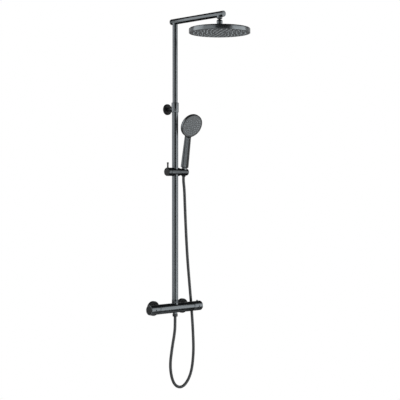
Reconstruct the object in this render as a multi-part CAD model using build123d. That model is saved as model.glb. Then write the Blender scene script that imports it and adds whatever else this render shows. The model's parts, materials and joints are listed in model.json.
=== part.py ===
from build123d import *
import math
import os

# Rainfall shower column: a bar thermostat mixer, a telescopic riser with an overhead
# shower on a straight arm, and a hand shower in a holder that slides on the riser.
# Frame: the origin lies on the wall, midway between the water inlets, at the height of
# the mixer's axis. +X is to the right, -Y is out of the wall, +Z is up. Millimetres.

# Clearances
THREAD_GAP = 0.1
FACE_GAP = 0.3
RUN_GAP = 0.08

# Wall inlets
INLET_SPACING = 150.0
WALL_TO_AXIS = 46.0
INLET_THREAD_R = 10.48
INLET_THREAD_LENGTH = 18.0
INLET_NECK_R = 10.2
INLET_BORE_R = 7.0
INLET_STRAINER = 2.0
INLET_STRAINER_PITCH = 4.2
INLET_STRAINER_HOLE_R = 1.5
INLET_BOSS_R = 12.5
INLET_WASHER = 1.6
FLANGE_R = 28.0
FLANGE_DEPTH = 12.0
FLANGE_WALL = 2.0
UNION_COLLAR = 2.5
UNION_NUT_LIP = 2.5
UNION_NUT_WALL = 3.4
UNION_NUT_END_GAP = 0.8
CHECK_VALVE_INSET = 1.0

# Mixer body and its cartridges
BODY_R = 18.5
BODY_WALL = 4.0
BODY_END = 0.5
CAVITY_DEPTH = 58.0
CROSS_BORE_R = 6.0
CARTRIDGE_RING = 5.0
CARTRIDGE_WAIST = 4.0
CARTRIDGE_END_GAP = 0.5
SPINDLE_R = 4.9
SPINDLE_DEPTH = 30.0
RING_BORE_R = 6.0

# Knobs
KNOB_GAP = 0.4
KNOB_LENGTH = 43.0
KNOB_WALL = 2.5
KNOB_EDGE = 1.5
KNOB_HUB_START = 18.0
KNOB_HUB = 20.0
KNOB_GRUB_OFFSET = 5.0
KNOB_CAP = 2.0
KNOB_CAP_INSET = 0.8
GRUB_R = 2.4
GRUB_LENGTH = 8.0
BUTTON_R = 3.4
BUTTON_PROUD = 4.0
BUTTON_LENGTH = 8.5
BUTTON_SPRING = 4.5
BUTTON_SPRING_WALL = 0.8

# Riser and its wall bracket
RISER_PAD = 1.0
RISER_THREAD_R = 9.0
RISER_THREAD = 10.0
RISER_SEAL = 1.0
CONNECTOR_R = 12.6
CONNECTOR_HEIGHT = 12.5
CONNECTOR_SPIGOT = 18.0
RISER_R = 12.0
RISER_WALL = 1.2
LOWER_RISER_LENGTH = 732.0
UPPER_R = 10.0
UPPER_WALL = 1.2
UPPER_EXPOSED = 295.4
UPPER_OVERLAP = 200.0
PISTON_LENGTH = 14.0
PISTON_PLUG = 10.0
PISTON_BORE_R = 5.5
PISTON_GROOVES = (0.3, 0.7)
O_RING_R = 1.1
COLLAR_R = 13.8
COLLAR_SEAT = 18.0
COLLAR_LIP = 6.0
GUIDE_BUSH_LENGTH = 13.0
BRACKET_RISE = 13.0
STEM_R = 7.0
STEM_BOSS = 16.0
STUD_R = 3.0
BRACKET_FLANGE_R = 21.0
BRACKET_FLANGE_DEPTH = 7.0
BRACKET_FLANGE_WALL = 1.5
BRACKET_BASE_R = 18.0
BRACKET_BASE = 2.5
BRACKET_SOCKET_WALL = 2.0
BRACKET_SCREW_SPACING = 26.0
BRACKET_SCREW_R = 2.2

# Overhead arm
ARM_R = 11.0
ARM_WALL = 2.0
ARM_BACK = 21.0
ARM_OVERHANG = 22.0
ARM_CAP = 3.0
ARM_CAP_PLUG = 6.0
ARM_CAP_EDGE = 1.6
ARM_BOSS_DROP = 2.0
ARM_SPIGOT_R = 6.9
ARM_SPIGOT_BORE_R = 4.2
ARM_SPIGOT_FLANGE = 0.5
ARM_SPIGOT_PLUG = 18.0
ARM_SLEEVE_WALL = 1.4
ARM_SLEEVE_RISE = 5.0
CIRCLIP = 1.0
CIRCLIP_R = 7.9

# Ball joint of the overhead shower
HEAD_REACH = 240.0
OUTLET_COLLAR_R = 10.4
OUTLET_DROP = 1.5
NIPPLE_THREAD_R = 5.0
NIPPLE_THREAD = 8.0
NIPPLE_COLLAR = 3.0
NIPPLE_FLARE_R = 8.2
NIPPLE_FLARE = 2.8
NIPPLE_NECK_R = 3.2
NIPPLE_BORE_R = 1.8
BALL_R = 5.5
BALL_DROP = 15.5
BALL_GAP = 0.12
BALL_RING_WALL = 1.0
BALL_NUT_R = 11.0
BALL_NUT_TOP_R = 8.4
BALL_NUT_ABOVE = 8.6
BALL_NUT_BELOW = 12.5
BALL_NUT_FOOT_R = 9.2
BALL_LIP = 3.6
SOCKET_R = 7.2
SOCKET_TOP = 2.5
BALL_TO_HEAD = 23.5

# Overhead shower
HEAD_R = 112.5
HEAD_HEIGHT = 17.5
HEAD_WALL = 2.5
HEAD_BEVEL = 4.0
HEAD_BOSS_R = 16.0
HEAD_BOSS = 10.0
HEAD_FACE = 1.5
HEAD_FACE_INSET = 0.3
HEAD_MAT = 2.0
HEAD_GASKET_WIDTH = 3.2
NOZZLE_R = 1.8
NOZZLE_GAP = 0.2
NOZZLE_PROUD = 1.2
HEAD_NOZZLE_RINGS = 6
HEAD_NOZZLE_MARGIN = 16.5

# Slider on the riser
SLIDER_RISE = 487.0
SLIDER_R = 16.0
SLIDER_LEFT = 28.0
SLIDER_RIGHT = 18.6
BUSH_WALL = 1.9
BUSH_CROWN_GAP = 0.4
CLAMP_LENGTH = 15.2
CLAMP_EDGE = 2.0
CLAMP_SCREW_R = 4.0
CLAMP_SCREW_SEAT = 9.0
LEVER_OFFSET = 9.3
LEVER_TOP = 36.0
LEVER_R = 3.6
LEVER_WAIST_R = 3.1
LEVER_SEAT = 7.0
LEVER_HEAD = 5.0
HOLDER_R = 13.5
HOLDER_LENGTH = 42.2
HOLDER_EDGE = 1.5
HOLDER_PIN_R = 3.6
HOLDER_PIN_DEPTH = 9.0
HOLDER_PIN_SEAT = 4.0
CONE_FROM_END = 14.5

# Hand shower and its hose cone, along the leaning handle axis from the holder's axis
LEAN_DEG = 9.2
CONE_BOTTOM = 17.0
CONE_TOP = 17.2
CONE_BOTTOM_R = 8.0
CONE_TOP_R = 10.4
CONE_BORE_R = 4.0
CONE_SEAT_GAP = 0.3
HOSE_SOCKET_R = 6.9
HOSE_SOCKET = 8.3
HANDSET_THREAD_R = 9.0
HANDSET_THREAD = 12.0
HANDSET_WASHER = 2.0
HANDLE_BOTTOM_R = 15.2
HANDLE_TOP_R = 12.2
HANDLE_EDGE = 1.5
HANDLE_BORE_R = 7.0
HANDLE_BORE = 100.0
HANDLE_TOP = 150.0
HANDLE_TIP_R = 7.0
HANDLE_TIP = 172.0
INLET_PLUG = 15.0
HANDSET_REACH = 180.0
HANDSET_FORWARD = 18.8
HANDSET_TURN_DEG = 5.0
FACE_TILT_DEG = 16.8
HANDSET_R = 46.2
HANDSET_HEIGHT = 15.0
HANDSET_WALL = 3.0
HANDSET_BACK_EDGE = 8.0
HANDSET_CAVITY = 7.0
HANDSET_FACE = 1.5
HANDSET_FACE_INSET = 0.3
HANDSET_MAT = 2.0
HANDSET_NOZZLE_RINGS = 4
HANDSET_NOZZLE_MARGIN = 11.6
HANDSET_NOZZLE_R = 1.4
WATERWAY_R = 2.2
WATERWAY_BACK = 5.0

# Hose between the mixer's lower outlet and the hose cone
HOSE_R = 5.5
HOSE_BORE_R = 3.5
HOSE_STUB_R = 8.5
HOSE_STUB = 3.5
HOSE_THREAD_R = 7.2
HOSE_THREAD = 7.0
HOSE_WASHER = 1.0
HOSE_NUT_R = 10.4
HOSE_NUT = 11.0
HOSE_END_GAP = 0.3
HOSE_LEAD = 20.0
HOSE_BEND_SHARE = 0.45
# Rows of the route: share of the holder's offset, of the axis distance, of the hose end's height
HOSE_ROUTE_SHARES = [
    (-0.022, 1.000, -0.176),
    (-0.343, 1.000, -0.298),
    (-0.579, 0.978, -0.443),
    (-0.064, 0.891, -0.580),
    (1.094, 0.739, -0.618),
    (2.189, 0.587, -0.531),
    (2.639, 0.435, -0.371),
    (2.661, 0.326, -0.204),
    (2.553, 0.293, -0.057),
    (2.381, 0.304, 0.078),
    (2.146, 0.370, 0.216),
    (1.888, 0.467, 0.357),
    (1.652, 0.587, 0.502),
    (1.431, 0.717, 0.649),
    (1.240, 0.837, 0.788),
    (1.116, 0.913, 0.894),
]

# Places worked out from the sizes above
AXIS_Y = -WALL_TO_AXIS
INLET_X = INLET_SPACING / 2
UNION_NUT_BACK = FLANGE_DEPTH + THREAD_GAP
UNION_COLLAR_BACK = UNION_NUT_BACK + UNION_NUT_LIP + THREAD_GAP
UNION_COLLAR_FRONT = UNION_COLLAR_BACK + UNION_COLLAR
BOSS_FACE = UNION_COLLAR_FRONT + INLET_WASHER
UNION_NUT_FRONT = WALL_TO_AXIS - BODY_R - UNION_NUT_END_GAP
UNION_BORE_R = INLET_BOSS_R + THREAD_GAP

BODY_HALF = INLET_X + INLET_BOSS_R + BODY_END
CAVITY_R = BODY_R - BODY_WALL
CAVITY_END = BODY_HALF - CAVITY_DEPTH
CARTRIDGE_R = CAVITY_R - THREAD_GAP
CARTRIDGE_OUT = BODY_HALF - CARTRIDGE_RING - CARTRIDGE_END_GAP
KNOB_R = BODY_R
KNOB_IN = BODY_HALF + KNOB_GAP
KNOB_OUT = KNOB_IN + KNOB_LENGTH
HUB_IN = KNOB_IN + KNOB_HUB_START
HUB_OUT = HUB_IN + KNOB_HUB
HUB_MIDDLE = (HUB_IN + HUB_OUT) / 2
GRUB_X = HUB_MIDDLE - KNOB_GRUB_OFFSET
KNOB_BORE_R = KNOB_R - KNOB_WALL

RISER_PAD_TOP = BODY_R + RISER_PAD
RISER_BOTTOM = RISER_PAD_TOP + CONNECTOR_HEIGHT
RISER_BORE_R = RISER_R - RISER_WALL
LOWER_TOP = RISER_BOTTOM + LOWER_RISER_LENGTH
COLLAR_BOTTOM = LOWER_TOP - COLLAR_SEAT
BUSH_TOP = LOWER_TOP + GUIDE_BUSH_LENGTH
COLLAR_TOP = BUSH_TOP + COLLAR_LIP
BRACKET_Z = COLLAR_BOTTOM + BRACKET_RISE
UPPER_TOP = COLLAR_TOP + UPPER_EXPOSED
UPPER_BOTTOM = LOWER_TOP - UPPER_OVERLAP
UPPER_BORE_R = UPPER_R - UPPER_WALL
PISTON_R = RISER_BORE_R - RUN_GAP
STEM_FRONT = WALL_TO_AXIS - STEM_BOSS
SOCKET_DEPTH = BRACKET_FLANGE_DEPTH - BRACKET_FLANGE_WALL - FACE_GAP

SPIGOT_SHOULDER = UPPER_TOP + ARM_SPIGOT_FLANGE
ARM_BOSS_BOTTOM = SPIGOT_SHOULDER + FACE_GAP
ARM_Z = ARM_BOSS_BOTTOM + ARM_BOSS_DROP + ARM_R
ARM_BORE_R = ARM_R - ARM_WALL
SLEEVE_TOP = ARM_Z - ARM_BORE_R + ARM_SLEEVE_RISE
SLEEVE_BORE_R = ARM_SPIGOT_R + RUN_GAP
HEAD_Y = AXIS_Y - HEAD_REACH
ARM_FRONT = HEAD_REACH + ARM_OVERHANG
OUTLET_BOTTOM = ARM_Z - ARM_R - OUTLET_DROP
BALL_Z = OUTLET_BOTTOM - BALL_DROP
RING_IN_R = BALL_R + BALL_GAP
RING_OUT_R = RING_IN_R + BALL_RING_WALL
SEAT_R = RING_OUT_R + BALL_GAP
HEAD_TOP = BALL_Z - BALL_TO_HEAD
HEAD_BOTTOM = HEAD_TOP - HEAD_HEIGHT
HEAD_FACE_R = HEAD_R - HEAD_WALL - THREAD_GAP
HEAD_NOZZLE_PITCH = (HEAD_R - HEAD_NOZZLE_MARGIN) / HEAD_NOZZLE_RINGS
HEAD_MAT_BOTTOM = HEAD_BOTTOM + HEAD_FACE_INSET + HEAD_FACE

SLIDER_Z = RISER_BOTTOM + SLIDER_RISE
BUSH_BORE_R = RISER_R + RUN_GAP
BUSH_R = BUSH_BORE_R + BUSH_WALL
CLAMP_IN = -SLIDER_LEFT - FACE_GAP
CLAMP_OUT = CLAMP_IN - CLAMP_LENGTH
LEVER_X = CLAMP_IN - LEVER_OFFSET
HOLDER_IN = SLIDER_RIGHT + FACE_GAP
HOLDER_OUT = HOLDER_IN + HOLDER_LENGTH
HOLDER_X = HOLDER_OUT - CONE_FROM_END
HANDLE_BASE = CONE_TOP + FACE_GAP
HANDSET_BORE_R = HANDSET_R - HANDSET_WALL
HANDSET_NOZZLE_PITCH = (HANDSET_R - HANDSET_NOZZLE_MARGIN) / HANDSET_NOZZLE_RINGS

HOSE_OUTLET_Z = -(BODY_R + HOSE_STUB)
HOSE_NUT_BOTTOM = HOSE_OUTLET_Z - HOSE_NUT
HOSE_START_Z = HOSE_OUTLET_Z - HOSE_THREAD - HOSE_WASHER

BASE = (Align.CENTER, Align.CENTER, Align.MIN)


def rod(start, end, radius):
    """Solid cylinder from one point to another."""
    start = Vector(start)
    run = Vector(end) - start
    return Plane(origin=start, z_dir=run) * Cylinder(radius, run.length, align=BASE)


def turned(place, outline):
    """Solid turned about the z axis of a plane, from (radius, height) points."""
    wire = Polyline([(radius, 0, height) for radius, height in outline], close=True)
    return place * revolve(make_face(wire), Axis.Z)


def ring(place, inner, outer, low, high):
    """Plain ring about the z axis of a plane."""
    return turned(place, [(inner, low), (outer, low), (outer, high), (inner, high)])


def rings_of_points(rings, pitch):
    """Points of a round nozzle pattern: a centre and rings of six, twelve and so on."""
    points = [(0.0, 0.0)]
    for number in range(1, rings + 1):
        count = 6 * number
        for step in range(count):
            angle = 2 * math.pi * step / count
            points.append((number * pitch * math.cos(angle), number * pitch * math.sin(angle)))
    return points


def holed_disc(place, radius, thickness, points, hole_r):
    """Disc on a plane with a round hole at each point."""
    holes = Sketch() + [Pos(x, y) * Circle(hole_r) for x, y in points]
    return place * extrude(Circle(radius) - holes, thickness)


def nozzle_mat(place, radius, thickness, points, nub_r, nub_length):
    """Disc on a plane with a nozzle at each point, standing out against the plane's z."""
    nubs = Sketch() + [Pos(x, y) * Circle(nub_r) for x, y in points]
    return place * (extrude(Circle(radius), thickness) + extrude(nubs, -nub_length))


MIXER_RIGHT = Plane(origin=(0, AXIS_Y, 0), z_dir=(1, 0, 0))
MIXER_LEFT = Plane(origin=(0, AXIS_Y, 0), z_dir=(-1, 0, 0))
RISER = Plane(origin=(0, AXIS_Y, 0), z_dir=(0, 0, 1))
OVERHEAD = Plane(origin=(0, HEAD_Y, 0), z_dir=(0, 0, 1))
BALL = Plane(origin=(0, HEAD_Y, BALL_Z), z_dir=(0, 0, 1))
BRACKET = Plane(origin=(0, 0, BRACKET_Z), z_dir=(0, -1, 0))
SLIDER = Plane(origin=(0, AXIS_Y, SLIDER_Z), z_dir=(1, 0, 0))

lean = math.radians(LEAN_DEG)
HANDLE_AXIS = Vector(0, -math.sin(lean), math.cos(lean))
turn = math.radians(HANDSET_TURN_DEG)
HANDLE_FORWARD = Vector(0, -math.cos(lean), -math.sin(lean)) * math.cos(turn) - Vector(math.sin(turn), 0, 0)
HANDLE_SIDE = HANDLE_AXIS.cross(HANDLE_FORWARD)
HANDLE_FOOT = Vector(HOLDER_X, AXIS_Y, SLIDER_Z)
HANDLE = Plane(origin=HANDLE_FOOT, x_dir=HANDLE_SIDE, z_dir=HANDLE_AXIS)
face_angle = math.radians(FACE_TILT_DEG)
HANDSET = Plane(
    origin=HANDLE_FOOT + HANDLE_AXIS * HANDSET_REACH + HANDLE_FORWARD * HANDSET_FORWARD,
    x_dir=HANDLE_SIDE,
    z_dir=HANDLE_FORWARD * math.cos(face_angle) - HANDLE_AXIS * math.sin(face_angle),
)


def inlet(side):
    """Plane at a wall inlet with z out of the wall."""
    return Plane(origin=(side * INLET_X, 0, 0), z_dir=(0, -1, 0))


# Wall inlets

def wall_flange(side):
    hub = INLET_THREAD_R + THREAD_GAP
    return turned(inlet(side), [
        (FLANGE_R, 0),
        (FLANGE_R, FLANGE_DEPTH - FLANGE_WALL),
        (FLANGE_R - FLANGE_WALL, FLANGE_DEPTH),
        (hub, FLANGE_DEPTH),
        (hub, FLANGE_DEPTH - FLANGE_WALL),
        (FLANGE_R - FLANGE_WALL, FLANGE_DEPTH - FLANGE_WALL),
        (FLANGE_R - FLANGE_WALL, 0),
    ])


def wall_union(side):
    union = turned(inlet(side), [
        (INLET_BORE_R, -INLET_THREAD_LENGTH),
        (INLET_THREAD_R, -INLET_THREAD_LENGTH),
        (INLET_THREAD_R, 0),
        (INLET_NECK_R, 0),
        (INLET_NECK_R, UNION_COLLAR_BACK),
        (INLET_BOSS_R, UNION_COLLAR_BACK),
        (INLET_BOSS_R, UNION_COLLAR_FRONT),
        (INLET_BORE_R, UNION_COLLAR_FRONT),
    ])
    strainer_back = -(INLET_THREAD_LENGTH + INLET_STRAINER) / 2
    place = inlet(side) * Pos(0, 0, strainer_back)
    points = rings_of_points(1, INLET_STRAINER_PITCH)[1:]
    return union + holed_disc(place, INLET_BORE_R, INLET_STRAINER, points, INLET_STRAINER_HOLE_R)


def union_nut(side):
    outside = UNION_BORE_R + UNION_NUT_WALL
    lip = INLET_THREAD_R + THREAD_GAP
    return turned(inlet(side), [
        (lip, UNION_NUT_BACK),
        (outside, UNION_NUT_BACK),
        (outside, UNION_NUT_FRONT),
        (UNION_BORE_R, UNION_NUT_FRONT),
        (UNION_BORE_R, UNION_COLLAR_BACK - THREAD_GAP),
        (lip, UNION_COLLAR_BACK - THREAD_GAP),
    ])


def inlet_washer(side):
    return ring(inlet(side), INLET_BORE_R, INLET_BOSS_R, UNION_COLLAR_FRONT, BOSS_FACE)


def check_valve(side):
    low = BOSS_FACE + CHECK_VALVE_INSET
    high = WALL_TO_AXIS - CAVITY_R - CHECK_VALVE_INSET
    outside = INLET_BORE_R - THREAD_GAP
    return ring(inlet(side), outside / 2, outside, low, high)


# Mixer

def mixer_body():
    centre = (0, AXIS_Y, 0)
    spigot_top = RISER_PAD_TOP + RISER_THREAD
    thread_end = HOSE_OUTLET_Z - HOSE_THREAD
    body = rod((-BODY_HALF, AXIS_Y, 0), (BODY_HALF, AXIS_Y, 0), BODY_R)
    body += rod(centre, (0, AXIS_Y, RISER_PAD_TOP), CONNECTOR_R)
    body += rod(centre, (0, AXIS_Y, spigot_top), RISER_THREAD_R)
    body += rod(centre, (0, AXIS_Y, HOSE_OUTLET_Z), HOSE_STUB_R)
    body += rod(centre, (0, AXIS_Y, thread_end), HOSE_THREAD_R)
    for side in (-1, 1):
        body += rod((side * INLET_X, AXIS_Y, 0), (side * INLET_X, -BOSS_FACE, 0), INLET_BOSS_R)
    for side in (-1, 1):
        body -= rod((side * BODY_HALF, AXIS_Y, 0), (side * CAVITY_END, AXIS_Y, 0), CAVITY_R)
        body -= rod((side * INLET_X, AXIS_Y, 0), (side * INLET_X, -BOSS_FACE, 0), INLET_BORE_R)
    body -= rod((-CAVITY_END, AXIS_Y, 0), (CAVITY_END, AXIS_Y, 0), CROSS_BORE_R)
    body -= rod(centre, (0, AXIS_Y, spigot_top), CROSS_BORE_R)
    body -= rod(centre, (0, AXIS_Y, thread_end), HOSE_BORE_R)
    return body


def cartridge(place):
    bore = SPINDLE_R + RUN_GAP
    waist_start = INLET_X - INLET_BORE_R
    inner_end = CAVITY_END + CARTRIDGE_END_GAP
    return turned(place, [
        (0, inner_end),
        (CARTRIDGE_R, inner_end),
        (CARTRIDGE_R, waist_start),
        (CARTRIDGE_R - CARTRIDGE_WAIST, waist_start),
        (CARTRIDGE_R - CARTRIDGE_WAIST, CARTRIDGE_OUT),
        (bore, CARTRIDGE_OUT),
        (bore, CARTRIDGE_OUT - SPINDLE_DEPTH),
        (0, CARTRIDGE_OUT - SPINDLE_DEPTH),
    ])


def cartridge_ring(place):
    return ring(place, RING_BORE_R, CARTRIDGE_R, CARTRIDGE_OUT, CARTRIDGE_OUT + CARTRIDGE_RING)


def spindle(place):
    low = CARTRIDGE_OUT - SPINDLE_DEPTH + FACE_GAP
    return turned(place, [(0, low), (SPINDLE_R, low), (SPINDLE_R, HUB_OUT), (0, HUB_OUT)])


def knob(place, side):
    bore = SPINDLE_R + THREAD_GAP
    sleeve = turned(place, [
        (KNOB_R, KNOB_IN),
        (KNOB_R, KNOB_OUT - KNOB_EDGE),
        (KNOB_R - KNOB_EDGE, KNOB_OUT),
        (KNOB_BORE_R, KNOB_OUT),
        (KNOB_BORE_R, HUB_OUT),
        (bore, HUB_OUT),
        (bore, HUB_IN),
        (KNOB_BORE_R, HUB_IN),
        (KNOB_BORE_R, KNOB_IN),
    ])
    x = side * GRUB_X
    return sleeve - rod((x, AXIS_Y, 0), (x, AXIS_Y - KNOB_R, 0), GRUB_R + THREAD_GAP)


def knob_cap(place):
    front = KNOB_OUT - KNOB_CAP_INSET
    outside = KNOB_BORE_R - THREAD_GAP
    back = front - KNOB_CAP
    return turned(place, [(0, back), (outside, back), (outside, front), (0, front)])


def grub_screw(side):
    x = side * GRUB_X
    inner = AXIS_Y - SPINDLE_R - THREAD_GAP
    return rod((x, inner, 0), (x, inner - GRUB_LENGTH, 0), GRUB_R)


BUTTON_TOP = KNOB_R + BUTTON_PROUD
BUTTON_BOTTOM = BUTTON_TOP - BUTTON_LENGTH
BUTTON_WELL = BUTTON_BOTTOM - BUTTON_SPRING
BUTTON = Plane(origin=(HUB_MIDDLE, AXIS_Y, 0), z_dir=(0, 0, 1))


def temperature_knob():
    top = (HUB_MIDDLE, AXIS_Y, BUTTON_TOP)
    return knob(MIXER_RIGHT, 1) - rod((HUB_MIDDLE, AXIS_Y, BUTTON_WELL), top, BUTTON_R + RUN_GAP)


def safety_button():
    edge = BUTTON_R / 3
    return turned(BUTTON, [
        (0, BUTTON_BOTTOM),
        (BUTTON_R, BUTTON_BOTTOM),
        (BUTTON_R, BUTTON_TOP - edge),
        (BUTTON_R - edge, BUTTON_TOP),
        (0, BUTTON_TOP),
    ])


def safety_spring():
    outside = BUTTON_R - THREAD_GAP
    return ring(BUTTON, outside - BUTTON_SPRING_WALL, outside, BUTTON_WELL, BUTTON_BOTTOM)


# Riser and bracket

def riser_connector():
    thread = RISER_THREAD_R + THREAD_GAP
    spigot = RISER_BORE_R - THREAD_GAP
    well_top = RISER_PAD_TOP + RISER_THREAD + RISER_SEAL
    spigot_top = RISER_BOTTOM + CONNECTOR_SPIGOT
    return turned(RISER, [
        (thread, RISER_PAD_TOP),
        (CONNECTOR_R, RISER_PAD_TOP),
        (CONNECTOR_R, RISER_BOTTOM),
        (spigot, RISER_BOTTOM),
        (spigot, spigot_top),
        (CROSS_BORE_R, spigot_top),
        (CROSS_BORE_R, well_top),
        (thread, well_top),
    ])


def riser_seal():
    low = RISER_PAD_TOP + RISER_THREAD
    return ring(RISER, CROSS_BORE_R, RISER_THREAD_R, low, low + RISER_SEAL)


def lower_riser():
    return ring(RISER, RISER_BORE_R, RISER_R, RISER_BOTTOM, LOWER_TOP)


def upper_riser():
    return ring(RISER, UPPER_BORE_R, UPPER_R, UPPER_BOTTOM, UPPER_TOP)


def o_ring_heights():
    low = UPPER_BOTTOM - PISTON_LENGTH
    return [low + PISTON_LENGTH * share for share in PISTON_GROOVES]


def riser_piston():
    plug = UPPER_BORE_R - THREAD_GAP
    low = UPPER_BOTTOM - PISTON_LENGTH
    piston = turned(RISER, [
        (PISTON_BORE_R, low),
        (PISTON_R, low),
        (PISTON_R, UPPER_BOTTOM),
        (plug, UPPER_BOTTOM),
        (plug, UPPER_BOTTOM + PISTON_PLUG),
        (PISTON_BORE_R, UPPER_BOTTOM + PISTON_PLUG),
    ])
    half = O_RING_R + THREAD_GAP
    for height in o_ring_heights():
        piston -= ring(RISER, PISTON_R - 2 * half, PISTON_R + half, height - half, height + half)
    return piston


def riser_o_rings():
    tyre = Torus(PISTON_R - O_RING_R, O_RING_R)
    return [RISER * Pos(0, 0, height) * tyre for height in o_ring_heights()]


def guide_bush():
    return ring(RISER, UPPER_R + RUN_GAP, RISER_R, LOWER_TOP, BUSH_TOP)


def bracket_collar():
    seat = RISER_R + THREAD_GAP
    collar = turned(RISER, [
        (seat, COLLAR_BOTTOM),
        (COLLAR_R, COLLAR_BOTTOM),
        (COLLAR_R, COLLAR_TOP),
        (UPPER_R + FACE_GAP, COLLAR_TOP),
        (UPPER_R + FACE_GAP, BUSH_TOP),
        (seat, BUSH_TOP),
    ])
    boss = rod((0, AXIS_Y, BRACKET_Z), (0, AXIS_Y + STEM_BOSS, BRACKET_Z), STEM_R)
    boss -= rod((0, AXIS_Y, BRACKET_Z - COLLAR_R), (0, AXIS_Y, BRACKET_Z + COLLAR_R), seat)
    hole = rod((0, AXIS_Y, BRACKET_Z), (0, AXIS_Y + STEM_BOSS, BRACKET_Z), STUD_R + THREAD_GAP)
    return collar + boss - hole


def bracket_stem():
    tip = WALL_TO_AXIS - RISER_R - THREAD_GAP
    return turned(BRACKET, [
        (0, BRACKET_BASE),
        (STEM_R, BRACKET_BASE),
        (STEM_R, STEM_FRONT),
        (STUD_R, STEM_FRONT),
        (STUD_R, tip),
        (0, tip),
    ])


def bracket_base():
    bore = STEM_R + THREAD_GAP
    base = turned(BRACKET, [
        (0, 0),
        (BRACKET_BASE_R, 0),
        (BRACKET_BASE_R, BRACKET_BASE),
        (bore + BRACKET_SOCKET_WALL, BRACKET_BASE),
        (bore + BRACKET_SOCKET_WALL, SOCKET_DEPTH),
        (bore, SOCKET_DEPTH),
        (bore, BRACKET_BASE),
        (0, BRACKET_BASE),
    ])
    for side in (-1, 1):
        x = side * BRACKET_SCREW_SPACING / 2
        base -= rod((x, 0, BRACKET_Z), (x, -BRACKET_BASE, BRACKET_Z), BRACKET_SCREW_R)
    return base


def bracket_flange():
    hole = STEM_R + THREAD_GAP
    wall = BRACKET_FLANGE_WALL
    return turned(BRACKET, [
        (BRACKET_FLANGE_R, 0),
        (BRACKET_FLANGE_R, BRACKET_FLANGE_DEPTH - wall),
        (BRACKET_FLANGE_R - wall, BRACKET_FLANGE_DEPTH),
        (hole, BRACKET_FLANGE_DEPTH),
        (hole, BRACKET_FLANGE_DEPTH - wall),
        (BRACKET_FLANGE_R - wall, BRACKET_FLANGE_DEPTH - wall),
        (BRACKET_FLANGE_R - wall, 0),
    ])


# Overhead arm

def arm_spigot():
    plug = UPPER_BORE_R - THREAD_GAP
    clip_top = SLEEVE_TOP + FACE_GAP + CIRCLIP
    spigot = turned(RISER, [
        (ARM_SPIGOT_BORE_R, UPPER_TOP - ARM_SPIGOT_PLUG),
        (plug, UPPER_TOP - ARM_SPIGOT_PLUG),
        (plug, UPPER_TOP),
        (UPPER_R, UPPER_TOP),
        (UPPER_R, SPIGOT_SHOULDER),
        (ARM_SPIGOT_R, SPIGOT_SHOULDER),
        (ARM_SPIGOT_R, clip_top + CIRCLIP),
        (ARM_SPIGOT_BORE_R, clip_top + CIRCLIP),
    ])
    groove = ARM_SPIGOT_R - CIRCLIP
    spigot -= ring(RISER, groove, ARM_SPIGOT_R + CIRCLIP, clip_top - CIRCLIP, clip_top)
    seal = (ARM_BOSS_BOTTOM + SLEEVE_TOP) / 2
    half = O_RING_R / 2 + THREAD_GAP
    return spigot - ring(RISER, ARM_SPIGOT_R - 2 * half, ARM_SPIGOT_R + half, seal - half, seal + half)


def arm_circlip():
    low = SLEEVE_TOP + FACE_GAP
    return ring(RISER, ARM_SPIGOT_R - CIRCLIP, CIRCLIP_R, low, low + CIRCLIP)


def arm_o_ring():
    seal = (ARM_BOSS_BOTTOM + SLEEVE_TOP) / 2
    return RISER * Pos(0, 0, seal) * Torus(ARM_SPIGOT_R - O_RING_R / 2, O_RING_R / 2)


def arm_end(distance):
    """Point on the arm's axis at a distance in front of the riser."""
    return (0, AXIS_Y - distance, ARM_Z)


def rain_arm():
    back, front = ARM_CAP - ARM_BACK, ARM_FRONT - ARM_CAP
    arm = rod(arm_end(back), arm_end(front), ARM_R)
    arm += rod((0, AXIS_Y, ARM_BOSS_BOTTOM), (0, AXIS_Y, ARM_Z), UPPER_R)
    arm += rod((0, HEAD_Y, OUTLET_BOTTOM), (0, HEAD_Y, ARM_Z), OUTLET_COLLAR_R)
    arm -= rod(arm_end(back), arm_end(front), ARM_BORE_R)
    arm += rod((0, AXIS_Y, ARM_BOSS_BOTTOM), (0, AXIS_Y, SLEEVE_TOP), SLEEVE_BORE_R + ARM_SLEEVE_WALL)
    arm -= rod((0, AXIS_Y, ARM_BOSS_BOTTOM), (0, AXIS_Y, SLEEVE_TOP), SLEEVE_BORE_R)
    thread_top = OUTLET_BOTTOM + NIPPLE_THREAD
    arm += rod((0, HEAD_Y, OUTLET_BOTTOM), (0, HEAD_Y, thread_top), NIPPLE_THREAD_R + ARM_SLEEVE_WALL)
    return arm - rod((0, HEAD_Y, OUTLET_BOTTOM), (0, HEAD_Y, thread_top), NIPPLE_THREAD_R + THREAD_GAP)


def arm_cap(distance, direction):
    """End cap whose outer face lies at a distance in front of the riser."""
    place = Plane(origin=arm_end(distance), z_dir=(0, direction, 0))
    plug = ARM_BORE_R - THREAD_GAP
    return turned(place, [
        (0, 0),
        (ARM_R - ARM_CAP_EDGE, 0),
        (ARM_R, ARM_CAP_EDGE),
        (ARM_R, ARM_CAP),
        (plug, ARM_CAP),
        (plug, ARM_CAP + ARM_CAP_PLUG),
        (0, ARM_CAP + ARM_CAP_PLUG),
    ])


# Ball joint and overhead shower

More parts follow.
